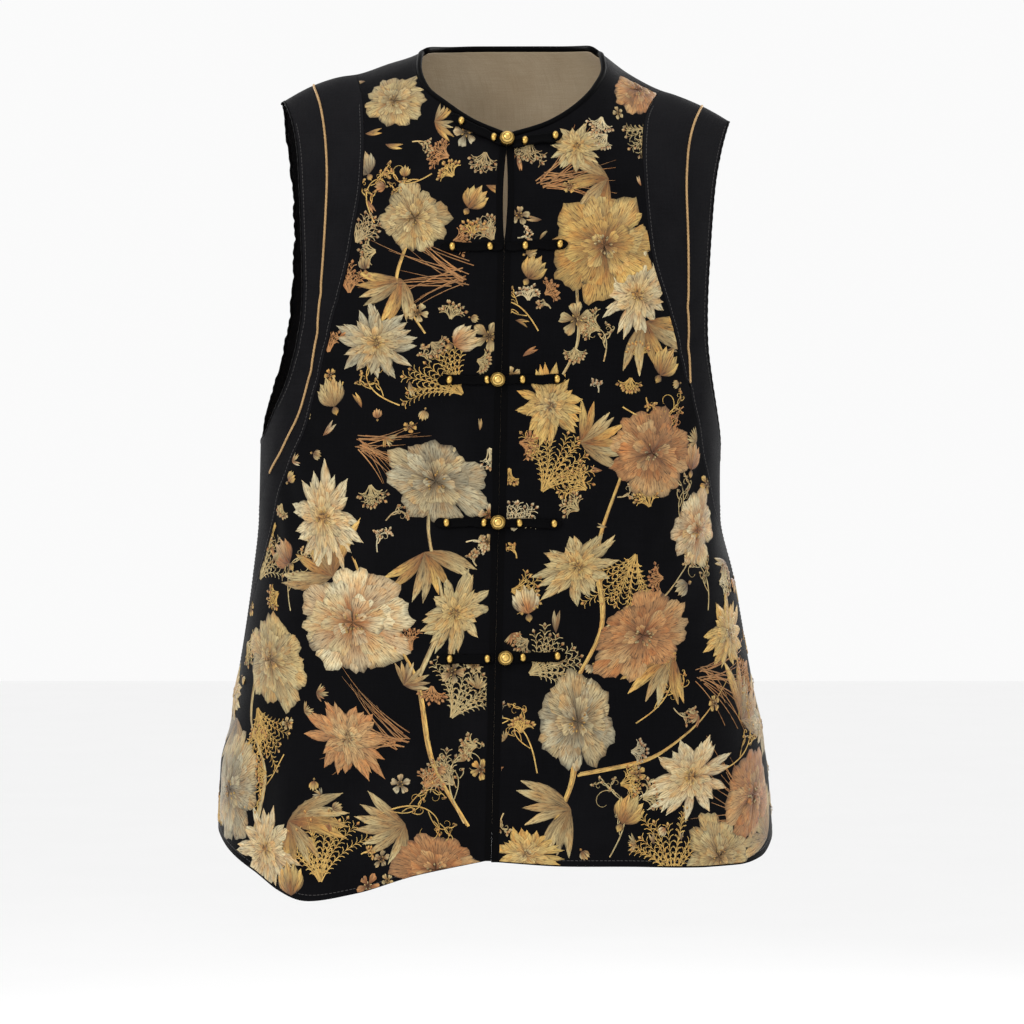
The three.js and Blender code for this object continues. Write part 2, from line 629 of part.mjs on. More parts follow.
// The black binding down each front edge, from the neckline to the hem.
function addEdgeBindings() {
  [LEFT, RIGHT].forEach((side) => {
    const shares = rowShares(FRONT, side);
    const top = topPlace(FRONT, side, 0).z;
    const place = (i, j) => {
      const z = mix(top, hemZ(side, 0), shares[j]);
      const distance = openHalf(z) + i * EDGE_BINDING.width;
      return { side, angle: angleAt(side, distance, z), z, face: FRONT };
    };
    const rows = shares.length - 1;
    add("edge_binding_" + sideName(side), wall(1, rows, place, EDGE_BINDING.thick, 0), "binding");
  });
}

// ---------------------------------------------------------------- frog fastenings
const strapLift = (frog) => EDGE_BINDING.thick / 2 + SEAM + STRAP.thick / 2 + frog.lift;

// Height of a frog's strap at a distance from the centre line.
function strapZ(frog, side, distance) {
  const climb = side === LEFT ? frog.climbLeft : frog.climbRight;
  return frog.z + climb * (distance / STRAP.outer);
}

function addOnSurface(name, geometry, finish, side, distance, z, lift) {
  const angle = angleAt(side, distance, z);
  const mesh = add(name, geometry, finish);
  const normal = surfaceNormal(side, angle, z);
  mesh.position.copy(lifted(side, angle, z, lift, FRONT));
  mesh.quaternion.setFromUnitVectors(new THREE.Vector3(0, 0, 1), normal);
}

// Shares of a strap's length and width at its rows of corners, narrowed at the round outer end.
const STRAP_OUTLINE = [
  { length: 0, width: 0.8 },
  { length: 0.05, width: 1 },
  { length: 0.3, width: 1 },
  { length: 0.6, width: 1 },
  { length: 0.88, width: 1 },
  { length: 0.96, width: 0.78 },
  { length: 1, width: 0.35 },
];

function addFrogs() {
  const stud = new THREE.SphereGeometry(1, 8, 5);
  stud.scale(STUD.across / 2, STUD.along / 2, STUD.high / 2);
  const ball = new THREE.SphereGeometry(BALL_RADIUS, 12, 8);
  FROGS.forEach((frog, row) => {
    [LEFT, RIGHT].forEach((side) => {
      const name = row + 1 + "_" + sideName(side);
      const ballRoom = frog.ball === null ? 0 : BALL_RADIUS - 1;
      const inner = Math.max(1.5, ballRoom + side * (frog.ball || 0));
      const outer = STRAP.outer * frog.span + side * frog.shift;
      const place = (i, j) => {
        const { length, width } = STRAP_OUTLINE[i];
        const distance = mix(inner, outer, length);
        const z = strapZ(frog, side, distance) + (j - 0.5) * STRAP.width * width;
        return { side, angle: angleAt(side, distance, z), z, face: FRONT };
      };
      const columns = STRAP_OUTLINE.length - 1;
      const strap = wall(columns, 1, place, STRAP.thick, strapLift(frog));
      add("frog_strap_" + name, strap, "binding");
      STUD_AT[sideName(side)].forEach((at, k) => {
        const distance = at * frog.span + side * frog.shift;
        const lift = strapLift(frog) + STRAP.thick / 2 + SEAM + STUD.high / 2;
        const z = strapZ(frog, side, distance);
        addOnSurface("frog_stud_" + name + "_" + (k + 1), stud, "brass", side, distance, z, lift);
      });
    });
    if (frog.ball !== null) {
      const side = frog.ball < 0 ? LEFT : RIGHT;
      const lift = EDGE_BINDING.thick / 2 + 2 * SEAM + BALL_RADIUS;
      const z = frog.z + (row === 0 ? 3.5 : 0);
      addOnSurface("ball_button_" + (row + 1), ball, "brass", side, Math.abs(frog.ball), z, lift);
    }
  });
}

addFrontPanels();
addBack();
addBands();
addPiping();
addNeckBinding();
addEdgeBindings();
addFrogs();

export default waistcoat;
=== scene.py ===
"""Looks of an embroidered silk waistcoat in its worn form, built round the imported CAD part.

Lengths in the tables are millimetres. The front faces -Y, and -X is the viewer's left.
A place on the body surface is (side, angle, z): side is -1 or 1, angle is in radians round the
body from centre front (0) to centre back (pi), and z is the height.
"""
import math

import bpy
import numpy as np
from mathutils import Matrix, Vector


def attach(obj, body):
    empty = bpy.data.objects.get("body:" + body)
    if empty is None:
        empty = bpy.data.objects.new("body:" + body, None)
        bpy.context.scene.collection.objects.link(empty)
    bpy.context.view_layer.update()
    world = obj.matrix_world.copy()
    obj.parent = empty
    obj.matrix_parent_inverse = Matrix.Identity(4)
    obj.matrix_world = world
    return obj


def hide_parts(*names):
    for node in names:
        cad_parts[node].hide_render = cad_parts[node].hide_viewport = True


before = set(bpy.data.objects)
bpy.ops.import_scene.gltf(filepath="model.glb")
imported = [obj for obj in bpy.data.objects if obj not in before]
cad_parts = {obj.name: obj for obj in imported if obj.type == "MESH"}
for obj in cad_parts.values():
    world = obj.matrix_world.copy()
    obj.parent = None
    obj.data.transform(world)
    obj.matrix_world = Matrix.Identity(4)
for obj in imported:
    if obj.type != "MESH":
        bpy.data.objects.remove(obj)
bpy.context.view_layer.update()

MM = 0.001
LEFT, RIGHT = -1, 1
SIDES = {LEFT: "left", RIGHT: "right"}
FRONT, BACK = "front", "back"

# ------------------------------------------------------------------ the body surface
SQUARENESS = 0.08
SHOULDER_ROUND = {FRONT: 170.0, BACK: 130.0}
CENTRE_AT_ORIGIN, CENTRE_LEAN = 4.0, 0.021
EDGE_WIDTH = 5.0

# z: (half width left, half width right, depth in front, depth behind)
SECTIONS = {
    40: (203, 193, 92, 86),
    -40: (203, 193, 98, 92),
    -120: (202, 190, 105, 99),
    -200: (201, 188, 111, 101),
    -280: (203, 186, 113, 98),
    -340: (203, 186, 112, 95),
    -390: (203, 187, 113, 96),
    -440: (207, 199, 118, 104),
    -520: (217, 215, 129, 118),
    -565: (223, 224, 136, 126),
    -600: (231, 231, 141, 132),
    -660: (232, 237, 148, 140),
    -730: (230, 242, 152, 145),
}
# distance from the centre: (shoulder line height left, right)
RIDGE = {
    0: (36, 36),
    40: (27, 27),
    70: (5, 8),
    82: (-1, -1),
    101: (-7, -15),
    128: (-16, -29),
    142: (-18, -33.5),
    163: (-24.5, -42),
    187: (-37, -55),
    206: (-50, -68),
}
# share of the neckline: (distance left, height left, distance right, height right)
NECKLINE = {
    FRONT: {
        0: (74, 3, 78, 2),
        0.2: (75, -13, 80, -15),
        0.4: (68, -33, 73, -32),
        0.6: (52, -48, 58, -50),
        0.8: (28, -65, 33, -67),
        1: (2.8, -76, 2.8, -77),
    },
    BACK: {
        0: (74, 3, 78, 2),
        0.25: (63, 8, 66, 9),
        0.6: (34, 12, 36, 12),
        1: (0, 13, 0, 13),
    },
}
ROUND = 300
# z: distance from the centre of (panel edge left, right, piping left, right, armhole left, right)
SEAMS = {
    FRONT: {
        -20: (129, 135, 168, 180, 205, 205),
        -36: (122, 126, 160, 169, 191, 196),
        -55: (120, 115, 154.5, 158.5, 181.5, 188),
        -84: (118.5, 113.5, 150, 151.5, 175, 180),
        -115: (119, 115, 148, 150, 172, 175),
        -150: (124, 118.5, 148.5, 151.5, 169.5, 172.5),
        -180: (128, 123, 149.5, 152.5, 167.5, 171),
        -212: (136, 134, 151.5, 153, 166.5, 170),
        -240: (143, 143, 153.5, 154, 169.5, 170.5),
        -278: (151, 152, 159.5, 156.5, 178.5, 176),
        -305: (158.5, 161, 168, 162, 191, 181.5),
        -330: (167, 167.5, 179.5, 167.5, 203, 186),
        -355: (178.5, 173, 193, 173, ROUND, 187),
        -382: (186, 179, 203, 179, ROUND, ROUND),
        -415: (192, 191, ROUND, 191, ROUND, ROUND),
        -450: (202.5, 201, ROUND, 201, ROUND, ROUND),
        -495: (212, ROUND, ROUND, ROUND, ROUND, ROUND),
        -540: (220, ROUND, ROUND, ROUND, ROUND, ROUND),
    },
    BACK: {
        -20: (129, 135, 168, 180, 205, 205),
        -36: (122, 126, 160, 169, 191, 196),
        -55: (120, 116, 155, 158.5, 189.5, 188),
        -84: (119, 115, 151, 152, 185.5, 181),
        -115: (120, 116, 149.5, 150.5, 182, 177),
        -150: (124, 119, 150, 151, 180.5, 174.5),
        -180: (128, 124, 151, 152, 181, 173),
        -212: (135, 132, 153, 153, 182.5, 172.5),
        -240: (142, 141, 155, 154.5, 186, 173.5),
        -278: (152, 150, 159, 157, 194, 178),
        -305: (158, 155, 162.5, 159.5, 201, 182.5),
        -330: (164, 161, 166, 163, 203, 186),
        -382: (173, 170, 173, 170, ROUND, ROUND),
        -495: (194, 192, 194, 192, ROUND, ROUND),
        -700: (216, 218, 216, 218, ROUND, ROUND),
    },
}
SEAM_COLUMN = {"panel": 0, "piping": 2, "edge": 4}
INNER_END = {FRONT: {LEFT: -540, RIGHT: -280}, BACK: {LEFT: -305, RIGHT: -305}}
PIPING_END = {FRONT: {LEFT: -355, RIGHT: -280}, BACK: {LEFT: -305, RIGHT: -305}}
SIDE_BORDER, INNER_BORDER = 6.0, 3.0
# a height near the hem, at which a seam's place along the hem is read
HEM_LEVEL = -660
# z: (side seam angle in degrees, width of the side slit)
SIDE_SEAM = {0: (90, 0), -420: (90, 0), -520: (93, 0), -580: (94, 0), -730: (94, 5)}
# angle in degrees: (hem height left, right)
HEM = {
    0: (-669, -670),
    13: (-681, -674),
    26: (-697, -675),
    37: (-704, -677),
    46: (-697, -678),
    56: (-683, -678),
    68: (-669, -674),
    80: (-657, -663),
    90: (-652, -656),
    104: (-658, -662),
    130: (-668, -668),
    180: (-672, -672),
}


def look_up(table, column, at):
    """Value of a table's column at its keys' places, on a smooth curve through the rows."""
    keys = np.array(sorted(table), float)
    values = np.array([table[k][column] for k in sorted(table)], float)
    x = np.clip(np.asarray(at, float), keys[0], keys[-1])
    i = np.clip(np.searchsorted(keys, x, side="right") - 1, 0, len(keys) - 2)
    slopes = np.diff(values) / np.diff(keys)
    tangents = np.empty(len(keys))
    tangents[0], tangents[-1] = slopes[0], slopes[-1]
    before, after = slopes[:-1], slopes[1:]
    flat = before * after <= 0
    total = np.where(flat, 1, before + after)
    tangents[1:-1] = np.where(flat, 0, 2 * before * after / total)
    h = keys[i + 1] - keys[i]
    u = (x - keys[i]) / h
    u2, u3 = u * u, u * u * u
    return (
        (2 * u3 - 3 * u2 + 1) * values[i]
        + (u3 - 2 * u2 + u) * h * tangents[i]
        + (3 * u2 - 2 * u3) * values[i + 1]
        + (u3 - u2) * h * tangents[i + 1]
    )


def column_of(side):
    return 0 if side == LEFT else 1


def mix(a, b, share):
    return a + (b - a) * share


def smooth(share):
    s = np.clip(share, 0, 1)
    return s * s * (3 - 2 * s)


def centre_x(z):
    return CENTRE_AT_ORIGIN + CENTRE_LEAN * z


def half_width(side, z):
    return look_up(SECTIONS, column_of(side), z)


def depth_at(face, z):
    return look_up(SECTIONS, 2 if face == FRONT else 3, z)


def ridge_z(side, distance):
    return look_up(RIDGE, column_of(side), np.abs(distance))


def across(angle):
    return np.sin(angle) * (1 + SQUARENESS * np.cos(angle) ** 2)


def along(angle):
    return np.cos(angle) * (1 + SQUARENESS * np.sin(angle) ** 2)


def angle_at(side, distance, z):
    """The angle, up to the side, at which a section is a distance from the centre line."""
    share = np.asarray(distance, float) / half_width(side, z)
    low = np.full(share.shape, -0.2)
    high = np.full(share.shape, math.pi / 2)
    for _ in range(30):
        middle = (low + high) / 2
        under = across(middle) < share
        low, high = np.where(under, middle, low), np.where(under, high, middle)
    return np.where(share >= 1, math.pi / 2, (low + high) / 2)


def bare_point(side, angle, z):
    """A point of the smooth surface. Above the shoulder line it carries on down the other side."""
    angle, z = np.broadcast_arrays(np.asarray(angle, float), np.asarray(z, float))
    distance = half_width(side, z) * across(angle)
    ridge = ridge_z(side, distance)
    over = z > ridge
    angle = np.where(over, math.pi - angle, angle)
    z = np.where(over, 2 * ridge - z, z)
    distance = half_width(side, z) * across(angle)
    ridge = ridge_z(side, distance)
    front = np.cos(angle) >= 0
    fall = np.where(front, SHOULDER_ROUND[FRONT], SHOULDER_ROUND[BACK])
    depth = np.where(front, depth_at(FRONT, z), depth_at(BACK, z))
    below = np.clip((ridge - z) / fall, 0, 1)
    rounding = np.sqrt(1 - (1 - below) ** 2)
    y = -depth * along(angle) * rounding
    return np.stack([centre_x(z) + side * distance, y, z], axis=-1)


def bare_normal(side, angle, z):
    turn, step = 0.004, 0.4
    round_body = bare_point(side, angle + turn, z) - bare_point(side, angle - turn, z)
    down = bare_point(side, angle, z - step) - bare_point(side, angle, z + step)
    normal = np.cross(round_body, down)
    normal /= np.maximum(np.linalg.norm(normal, axis=-1, keepdims=True), 1e-9)
    return normal if side == LEFT else -normal


# ------------------------------------------------------------------ seam lines, hem, neckline
def on_face(face, angle):
    return angle if face == FRONT else math.pi - angle


def hem_z(side, angle):
    return look_up(HEM, column_of(side), np.degrees(angle))


def seam_distance(face, line, side, z):
    z = np.asarray(z, float)
    # the rows are eased into one another over 20 mm, as a sewn line runs
    near = [z + step for step in (-10, -5, 0, 5, 10)]
    own = sum(look_up(SEAMS[face], SEAM_COLUMN[line] + column_of(side), h) for h in near) / 5
    if line != "panel":
        return own
    joined = sum(look_up(SEAMS[face], SEAM_COLUMN["piping"] + column_of(side), h) for h in near) / 5
    blend = smooth((INNER_END[face][side] - z + 6) / 12)
    return mix(own, joined, blend)


def seam_angle(face, line, side, z, shift=0.0):
    """Angle of a seam line at a height, moved towards the side by shift."""
    z = np.asarray(z, float)
    distance = seam_distance(face, line, side, z)
    width = half_width(side, z)
    angle = angle_at(side, distance, z)
    rate = np.hypot(width * np.cos(angle), depth_at(face, z) * np.sin(angle))
    if line == "panel":
        beyond = SIDE_BORDER + np.where(z < INNER_END[face][side], 0, INNER_BORDER)
    elif line == "piping":
        beyond = SIDE_BORDER
    else:
        beyond = 0.1 + look_up(SIDE_SEAM, 1, z) / 2
    seam = on_face(face, np.radians(look_up(SIDE_SEAM, 0, z)))
    limit = seam - (beyond - shift) / depth_at(face, z)
    reached = distance >= width
    return on_face(face, np.where(reached, limit, np.minimum(angle + shift / rate, limit)))


def ridge_crossing(line, side):
    """Distance from the centre at which a seam line meets the shoulder line."""
    z, distance = -30.0, 0.0
    for _ in range(40):
        distance = float(seam_distance(FRONT, line, side, z))
        z = mix(z, float(ridge_z(side, distance)), 0.6)
    return distance, z


def neck_place(face, side, share):
    """Distance and height of the neckline at a share of the way from the shoulder to the centre."""
    column = 0 if side == LEFT else 2
    distance = look_up(NECKLINE[face], column, share)
    z = look_up(NECKLINE[face], column + 1, share)
    ridge = ridge_z(side, distance)
    return distance, np.where(np.asarray(share) <= 0, ridge, np.minimum(z, ridge))


# ------------------------------------------------------------------ creases of the hanging cloth
# Each crease runs from one place to another in a straight line over the flat cloth. face, side,
# distance round from the centre and height of each end, half width of the soft trough, depth
# (below zero is a ridge).
CREASES = [
    # the flared fold that swings out at the lower left hem
    (FRONT, LEFT, 150, -585, 143, -720, 30, -4.6),
    (FRONT, LEFT, 112, -600, 96, -720, 24, 4.0),
    (FRONT, LEFT, 196, -560, 184, -720, 26, 3.4),
    (FRONT, LEFT, 62, -590, 52, -700, 30, -2.0),
    # the same on the other front, shallower
    (FRONT, RIGHT, 60, -575, 70, -700, 28, 2.4),
    (FRONT, RIGHT, 118, -560, 128, -710, 30, -2.8),
    (FRONT, RIGHT, 176, -590, 186, -710, 24, 2.6),
    # drag lines from under the arms
    (FRONT, LEFT, 178, -292, 96, -402, 15, 2.6),
    (FRONT, LEFT, 196, -330, 138, -440, 12, 2.2),
    (FRONT, LEFT, 204, -372, 176, -462, 10, 1.8),
    (FRONT, RIGHT, 172, -276, 106, -368, 14, 2.4),
    (FRONT, RIGHT, 186, -322, 136, -424, 13, 2.4),
    (FRONT, RIGHT, 196, -372, 160, -470, 10, 1.6),
    # small level creases of the left front below the waist
    (FRONT, LEFT, 120, -486, 192, -493, 7, 1.9),
    (FRONT, LEFT, 140, -508, 200, -519, 8, -1.3),
    (FRONT, RIGHT, 138, -498, 196, -486, 8, 1.5),
    # slack between neck and shoulder
    (FRONT, LEFT, 112, -62, 128, -168, 11, 1.5),
    (FRONT, RIGHT, 108, -70, 120, -176, 12, 1.6),
    (FRONT, LEFT, 60, -96, 104, -150, 12, 1.1),
    (FRONT, RIGHT, 56, -104, 98, -162, 12, 1.2),
    # skirt undulations
    (FRONT, LEFT, 34, -430, 28, -560, 24, 1.8),
    (FRONT, LEFT, 92, -440, 86, -570, 26, -1.8),
    (FRONT, RIGHT, 36, -420, 42, -580, 24, 1.7),
    (FRONT, RIGHT, 96, -450, 104, -590, 28, 2.0),
    # back: drag lines, centre slack and skirt folds
    (BACK, LEFT, 186, -300, 110, -410, 15, 2.7),
    (BACK, LEFT, 200, -350, 150, -452, 12, 2.1),
    (BACK, RIGHT, 178, -288, 98, -386, 14, 2.5),
    (BACK, RIGHT, 194, -345, 146, -446, 12, 2.2),
    (BACK, LEFT, 18, -150, 30, -330, 22, 1.8),
    (BACK, RIGHT, 26, -170, 20, -350, 20, 1.5),
    (BACK, LEFT, 90, -60, 112, -190, 16, 1.8),
    (BACK, RIGHT, 86, -70, 104, -205, 15, 1.9),
    (BACK, LEFT, 60, -470, 54, -690, 26, 3.0),
    (BACK, LEFT, 118, -520, 124, -700, 28, -3.4),
    (BACK, LEFT, 182, -540, 190, -700, 24, 2.8),
    (BACK, RIGHT, 16, -500, 12, -690, 24, -2.4),
    (BACK, RIGHT, 78, -480, 88, -700, 27, 3.2),
    (BACK, RIGHT, 142, -530, 154, -700, 28, -3.2),
    (BACK, RIGHT, 196, -560, 204, -700, 22, 2.4),
    (BACK, LEFT, 130, -492, 196, -503, 8, 1.8),
    (BACK, RIGHT, 120, -478, 188, -490, 8, 1.7),
    # small wrinkles gathered at the armhole seams
    (FRONT, LEFT, 166, -196, 128, -214, 5, 1.1),
    (FRONT, LEFT, 170, -226, 124, -252, 6, 1.3),
    (FRONT, LEFT, 174, -250, 134, -290, 5, 1.0),
    (FRONT, RIGHT, 170, -206, 138, -226, 5, 1.0),
    (FRONT, RIGHT, 172, -238, 132, -264, 6, 1.2),
    (BACK, LEFT, 180, -214, 140, -238, 6, 1.2),
    (BACK, RIGHT, 172, -224, 134, -250, 6, 1.2),
]


def crease_shift(side, angle, z):
    """How far the cloth at a place is moved outwards by all the creases there."""
    angle, z = np.broadcast_arrays(np.asarray(angle, float), np.asarray(z, float))
    front = np.cos(angle) >= 0
    turn = np.where(front, angle, math.pi - angle)
    width = half_width(side, z)
    depth = np.where(front, depth_at(FRONT, z), depth_at(BACK, z))
    # distance round the body from the centre, near enough for placing creases
    round_x = width * np.sin(turn) + 0.45 * depth * (1 - np.cos(turn)) ** 2
    total = np.zeros(z.shape)
    for face, own_side, x0, z0, x1, z1, half, deep in CREASES:
        if own_side != side:
            continue
        dx, dz = x1 - x0, z1 - z0
        length = math.hypot(dx, dz)
        px, pz = round_x - x0, z - z0
        t = (px * dx + pz * dz) / length**2
        off = (px * dz - pz * dx) / length
        # a slight bow keeps the line from running dead straight
        off = off + 0.05 * length * np.sin(math.pi * np.clip(t, 0, 1))
        shape = np.exp(-((off / half) ** 2))
        runs_off = z1 < -680
        fade = smooth((t + 0.15) / 0.45)
        if not runs_off:
            fade = fade * smooth((1.15 - t) / 0.4)
        mask = np.where(front == (face == FRONT), 1.0, 0.0)
        # fade at the side seam and towards the centre line so that the two sides still meet
        mask = mask * smooth((math.pi / 2 - turn) / 0.22) * smooth((round_x - 4) / 22)
        total = total - deep * shape * fade * mask
    ridge = ridge_z(side, width * across(angle))
    return total * smooth((ridge - z) / 40)


def surface(side, angle, z, lift=0.0):
    """Points of the creased cloth surface, moved outwards by lift, and its normals."""
    point = bare_point(side, angle, z)
    normal = bare_normal(side, angle, z)
    shift = crease_shift(side, angle, z)
    return point + normal * (shift + lift)[..., None], normal


# ------------------------------------------------------------------ meshes
def add_mesh(name, points, faces, uv=None, tint=None, material=None, sharp=50):
    """A mesh object from points in mm and an array of quads."""
    mesh = bpy.data.meshes.new(name)
    points = np.asarray(points, float).reshape(-1, 3) * MM
    faces = np.asarray(faces, np.int32).reshape(-1, 4)
    mesh.vertices.add(len(points))
    mesh.vertices.foreach_set("co", points.ravel())
    mesh.loops.add(faces.size)
    mesh.loops.foreach_set("vertex_index", faces.ravel())
    mesh.polygons.add(len(faces))
    mesh.polygons.foreach_set("loop_start", np.arange(len(faces), dtype=np.int32) * 4)
    mesh.update(calc_edges=True)
    mesh.validate()
    loops = np.empty(len(mesh.loops), np.int32)
    mesh.loops.foreach_get("vertex_index", loops)
    if uv is not None:
        layer = mesh.uv_layers.new(name="cloth")
        layer.data.foreach_set("uv", np.asarray(uv, float).reshape(-1, 2)[loops].ravel())
    if tint is not None:
        colours = mesh.color_attributes.new(name="tint", type="FLOAT_COLOR", domain="POINT")
        colours.data.foreach_set("color", np.asarray(tint, float).ravel())
    mesh.shade_smooth()
    if sharp:
        mesh.set_sharp_from_angle(angle=math.radians(sharp))
    piece = bpy.data.objects.new(name, mesh)
    bpy.context.scene.collection.objects.link(piece)
    if material:
        mesh.materials.append(material)
    return piece


def grid_faces(rows, columns, first=0, flip=False):
    j, i = np.meshgrid(np.arange(rows - 1), np.arange(columns - 1), indexing="ij")
    a = first + j * columns + i
    quads = np.stack([a, a + columns, a + columns + 1, a + 1], axis=-1).reshape(-1, 4)
    return quads[:, ::-1] if flip else quads


def ring_faces(rings, sides):
    """Quads between closed rings of points."""
    j, i = np.meshgrid(np.arange(rings - 1), np.arange(sides), indexing="ij")
    a, b = j * sides + i, j * sides + (i + 1) % sides
    return np.stack([a, b, b + sides, a + sides], axis=-1).reshape(-1, 4)


def facing(points, faces):
    """The faces, all turned over when they would give a closed shell a volume below zero."""
    p = points.reshape(-1, 3)
    a, b, c, d = (p[faces[:, k]] for k in range(4))
    volume = (np.cross(a, b) * c).sum() + (np.cross(a, c) * d).sum()
    return faces if volume > 0 else faces[:, ::-1]


def cloth_shell(name, middle, normal, uv, thick, material, inner=None):
    """A thin closed shell through a grid of points. inner is the material of its inward faces."""
    rows, columns = middle.shape[:2]
    points = np.concatenate([(middle + normal * thick * k).reshape(-1, 3) for k in (0.5, -0.5)])
    count = rows * columns
    outer = grid_faces(rows, columns)
    inward = grid_faces(rows, columns, count, True)
    ring = np.concatenate(
        [
            np.arange(columns),
            np.arange(1, rows) * columns + columns - 1,
            (rows - 1) * columns + np.arange(columns - 2, -1, -1),
            np.arange(rows - 2, 0, -1) * columns,
        ]
    )
    after = np.roll(ring, -1)
    rim = np.stack([ring, after, after + count, ring + count], axis=-1)
    faces = facing(points, np.concatenate([outer, inward, rim]))
    piece = add_mesh(name, points, faces, np.concatenate([uv, uv]), material=material)
    if inner:
        piece.data.materials.append(inner)
        which = np.zeros(len(faces), np.int32)
        which[len(outer) : len(outer) + len(inward)] = 1
        if len(piece.data.polygons) == len(which):
            piece.data.polygons.foreach_set("material_index", which)
    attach(piece, "root")
    return piece


def flat_uv(middle, z):
    """Distance along each row of a grid, and height, in mm."""
    step = np.diff(middle, axis=1, prepend=middle[:, :1])
    return np.stack([np.cumsum(np.hypot(step[..., 0], step[..., 1]), axis=1), z], axis=-1)


def shell(name, place, thick, material, lift=0.0, inner=None):
    """A cloth shell over a grid of places (side, angle, z) of the body surface."""
    side, angle, z = place
    middle, normal = surface(side, angle, z, lift)
    return cloth_shell(name, middle, normal, flat_uv(middle, z), thick, material, inner)


def tube(name, rings, radius, sides, material, twist=0.0, ply=0, deep=0.0):
    """A round cord through rings (points, normals). With plies it is a twisted cord: twist is the
    turn per mm and deep is how far the plies bulge, as a share of the radius."""
    points, normals = rings
    step = np.gradient(points, axis=0)
    tangent = step / np.linalg.norm(step, axis=1, keepdims=True)
    cross = np.cross(tangent, normals)
    cross /= np.linalg.norm(cross, axis=1, keepdims=True)
    up = np.cross(cross, tangent)
    run = np.cumsum(np.r_[0, np.linalg.norm(np.diff(points, axis=0), axis=1)])
    turn = 2 * math.pi * np.arange(sides) / sides - math.pi / 2  # the uv seam lies inwards
    phase = turn[None, :] + np.zeros((len(points), 1))
    r = radius * np.ones_like(phase)
    if ply:
        r = radius * (1 - deep + deep * np.abs(np.cos(ply * (phase - twist * run[:, None]) / 2)))
    taper = np.ones(len(points))
    taper[0] = taper[-1] = 0.25
    r = r * taper[:, None]
    grid = points[:, None] + r[..., None] * (
        np.cos(phase)[..., None] * cross[:, None] + np.sin(phase)[..., None] * up[:, None]
    )
    faces = facing(grid, ring_faces(len(points), sides))
    uv = np.stack([run[:, None] + 0 * phase, radius * (phase + math.pi / 2)], axis=-1)
    piece = add_mesh(name, grid, faces, uv, material=material, sharp=None)
    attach(piece, "root")
    return piece


# ------------------------------------------------------------------ outlines of the cloth pieces
def from_top(rows):
    """Shares of the way down of a piece's rows, close together where the shoulder rounds over."""
    t = np.linspace(0, 1, rows + 1)
    return 9 * t**2 / (1 + 8 * t)


FRONT_GAP = {"widest": 3.4, "top": -90.0, "bottom": -166.0}


def open_half(z):
    """Half the width that the two fronts stand apart at a height."""
    share = np.clip((z - FRONT_GAP["bottom"]) / (FRONT_GAP["top"] - FRONT_GAP["bottom"]), 0, 1)
    parted = FRONT_GAP["widest"] * np.sin(math.pi * share)
    return np.maximum(parted, 0.3) / 2 + 0.15


def beside_neck(face, side, share, away):
    """The neckline's places moved away from the opening along the cloth."""
    def at(s):
        distance, z = neck_place(face, side, s)
        angle = on_face(face, angle_at(side, distance, z))
        return bare_point(side, angle, z), bare_normal(side, angle, z), distance, z

    point, normal, distance, z = at(share)
    ahead = at(np.minimum(share + 0.02, 1))[0] - at(np.maximum(share - 0.02, 0))[0]
    out = np.cross(ahead, normal)
    out /= np.linalg.norm(out, axis=-1, keepdims=True)
    wrong = ((np.array([0, -20.0, 20.0]) - point) * out).sum(-1) > 0
    out[wrong] *= -1
    moved = point + out * away
    reach = np.abs(moved[:, 0] - centre_x(moved[:, 2]))
    ridge = ridge_z(side, reach)
    low, high = ridge - 60, ridge.copy()
    for _ in range(30):
        middle = (low + high) / 2
        y = bare_point(side, on_face(face, angle_at(side, reach, middle)), middle)[:, 1]
        deep = np.abs(y) > np.abs(moved[:, 1])
        low, high = np.where(deep, middle, low), np.where(deep, high, middle)
    height = np.where(ridge - moved[:, 2] > 30, moved[:, 2], high)
    top = share <= 0
    start = neck_place(FRONT, side, np.zeros(1))[0][0] + 1.2 * away
    reach = np.where(top, start, reach)
    return reach, np.where(top, ridge_z(side, reach), height)


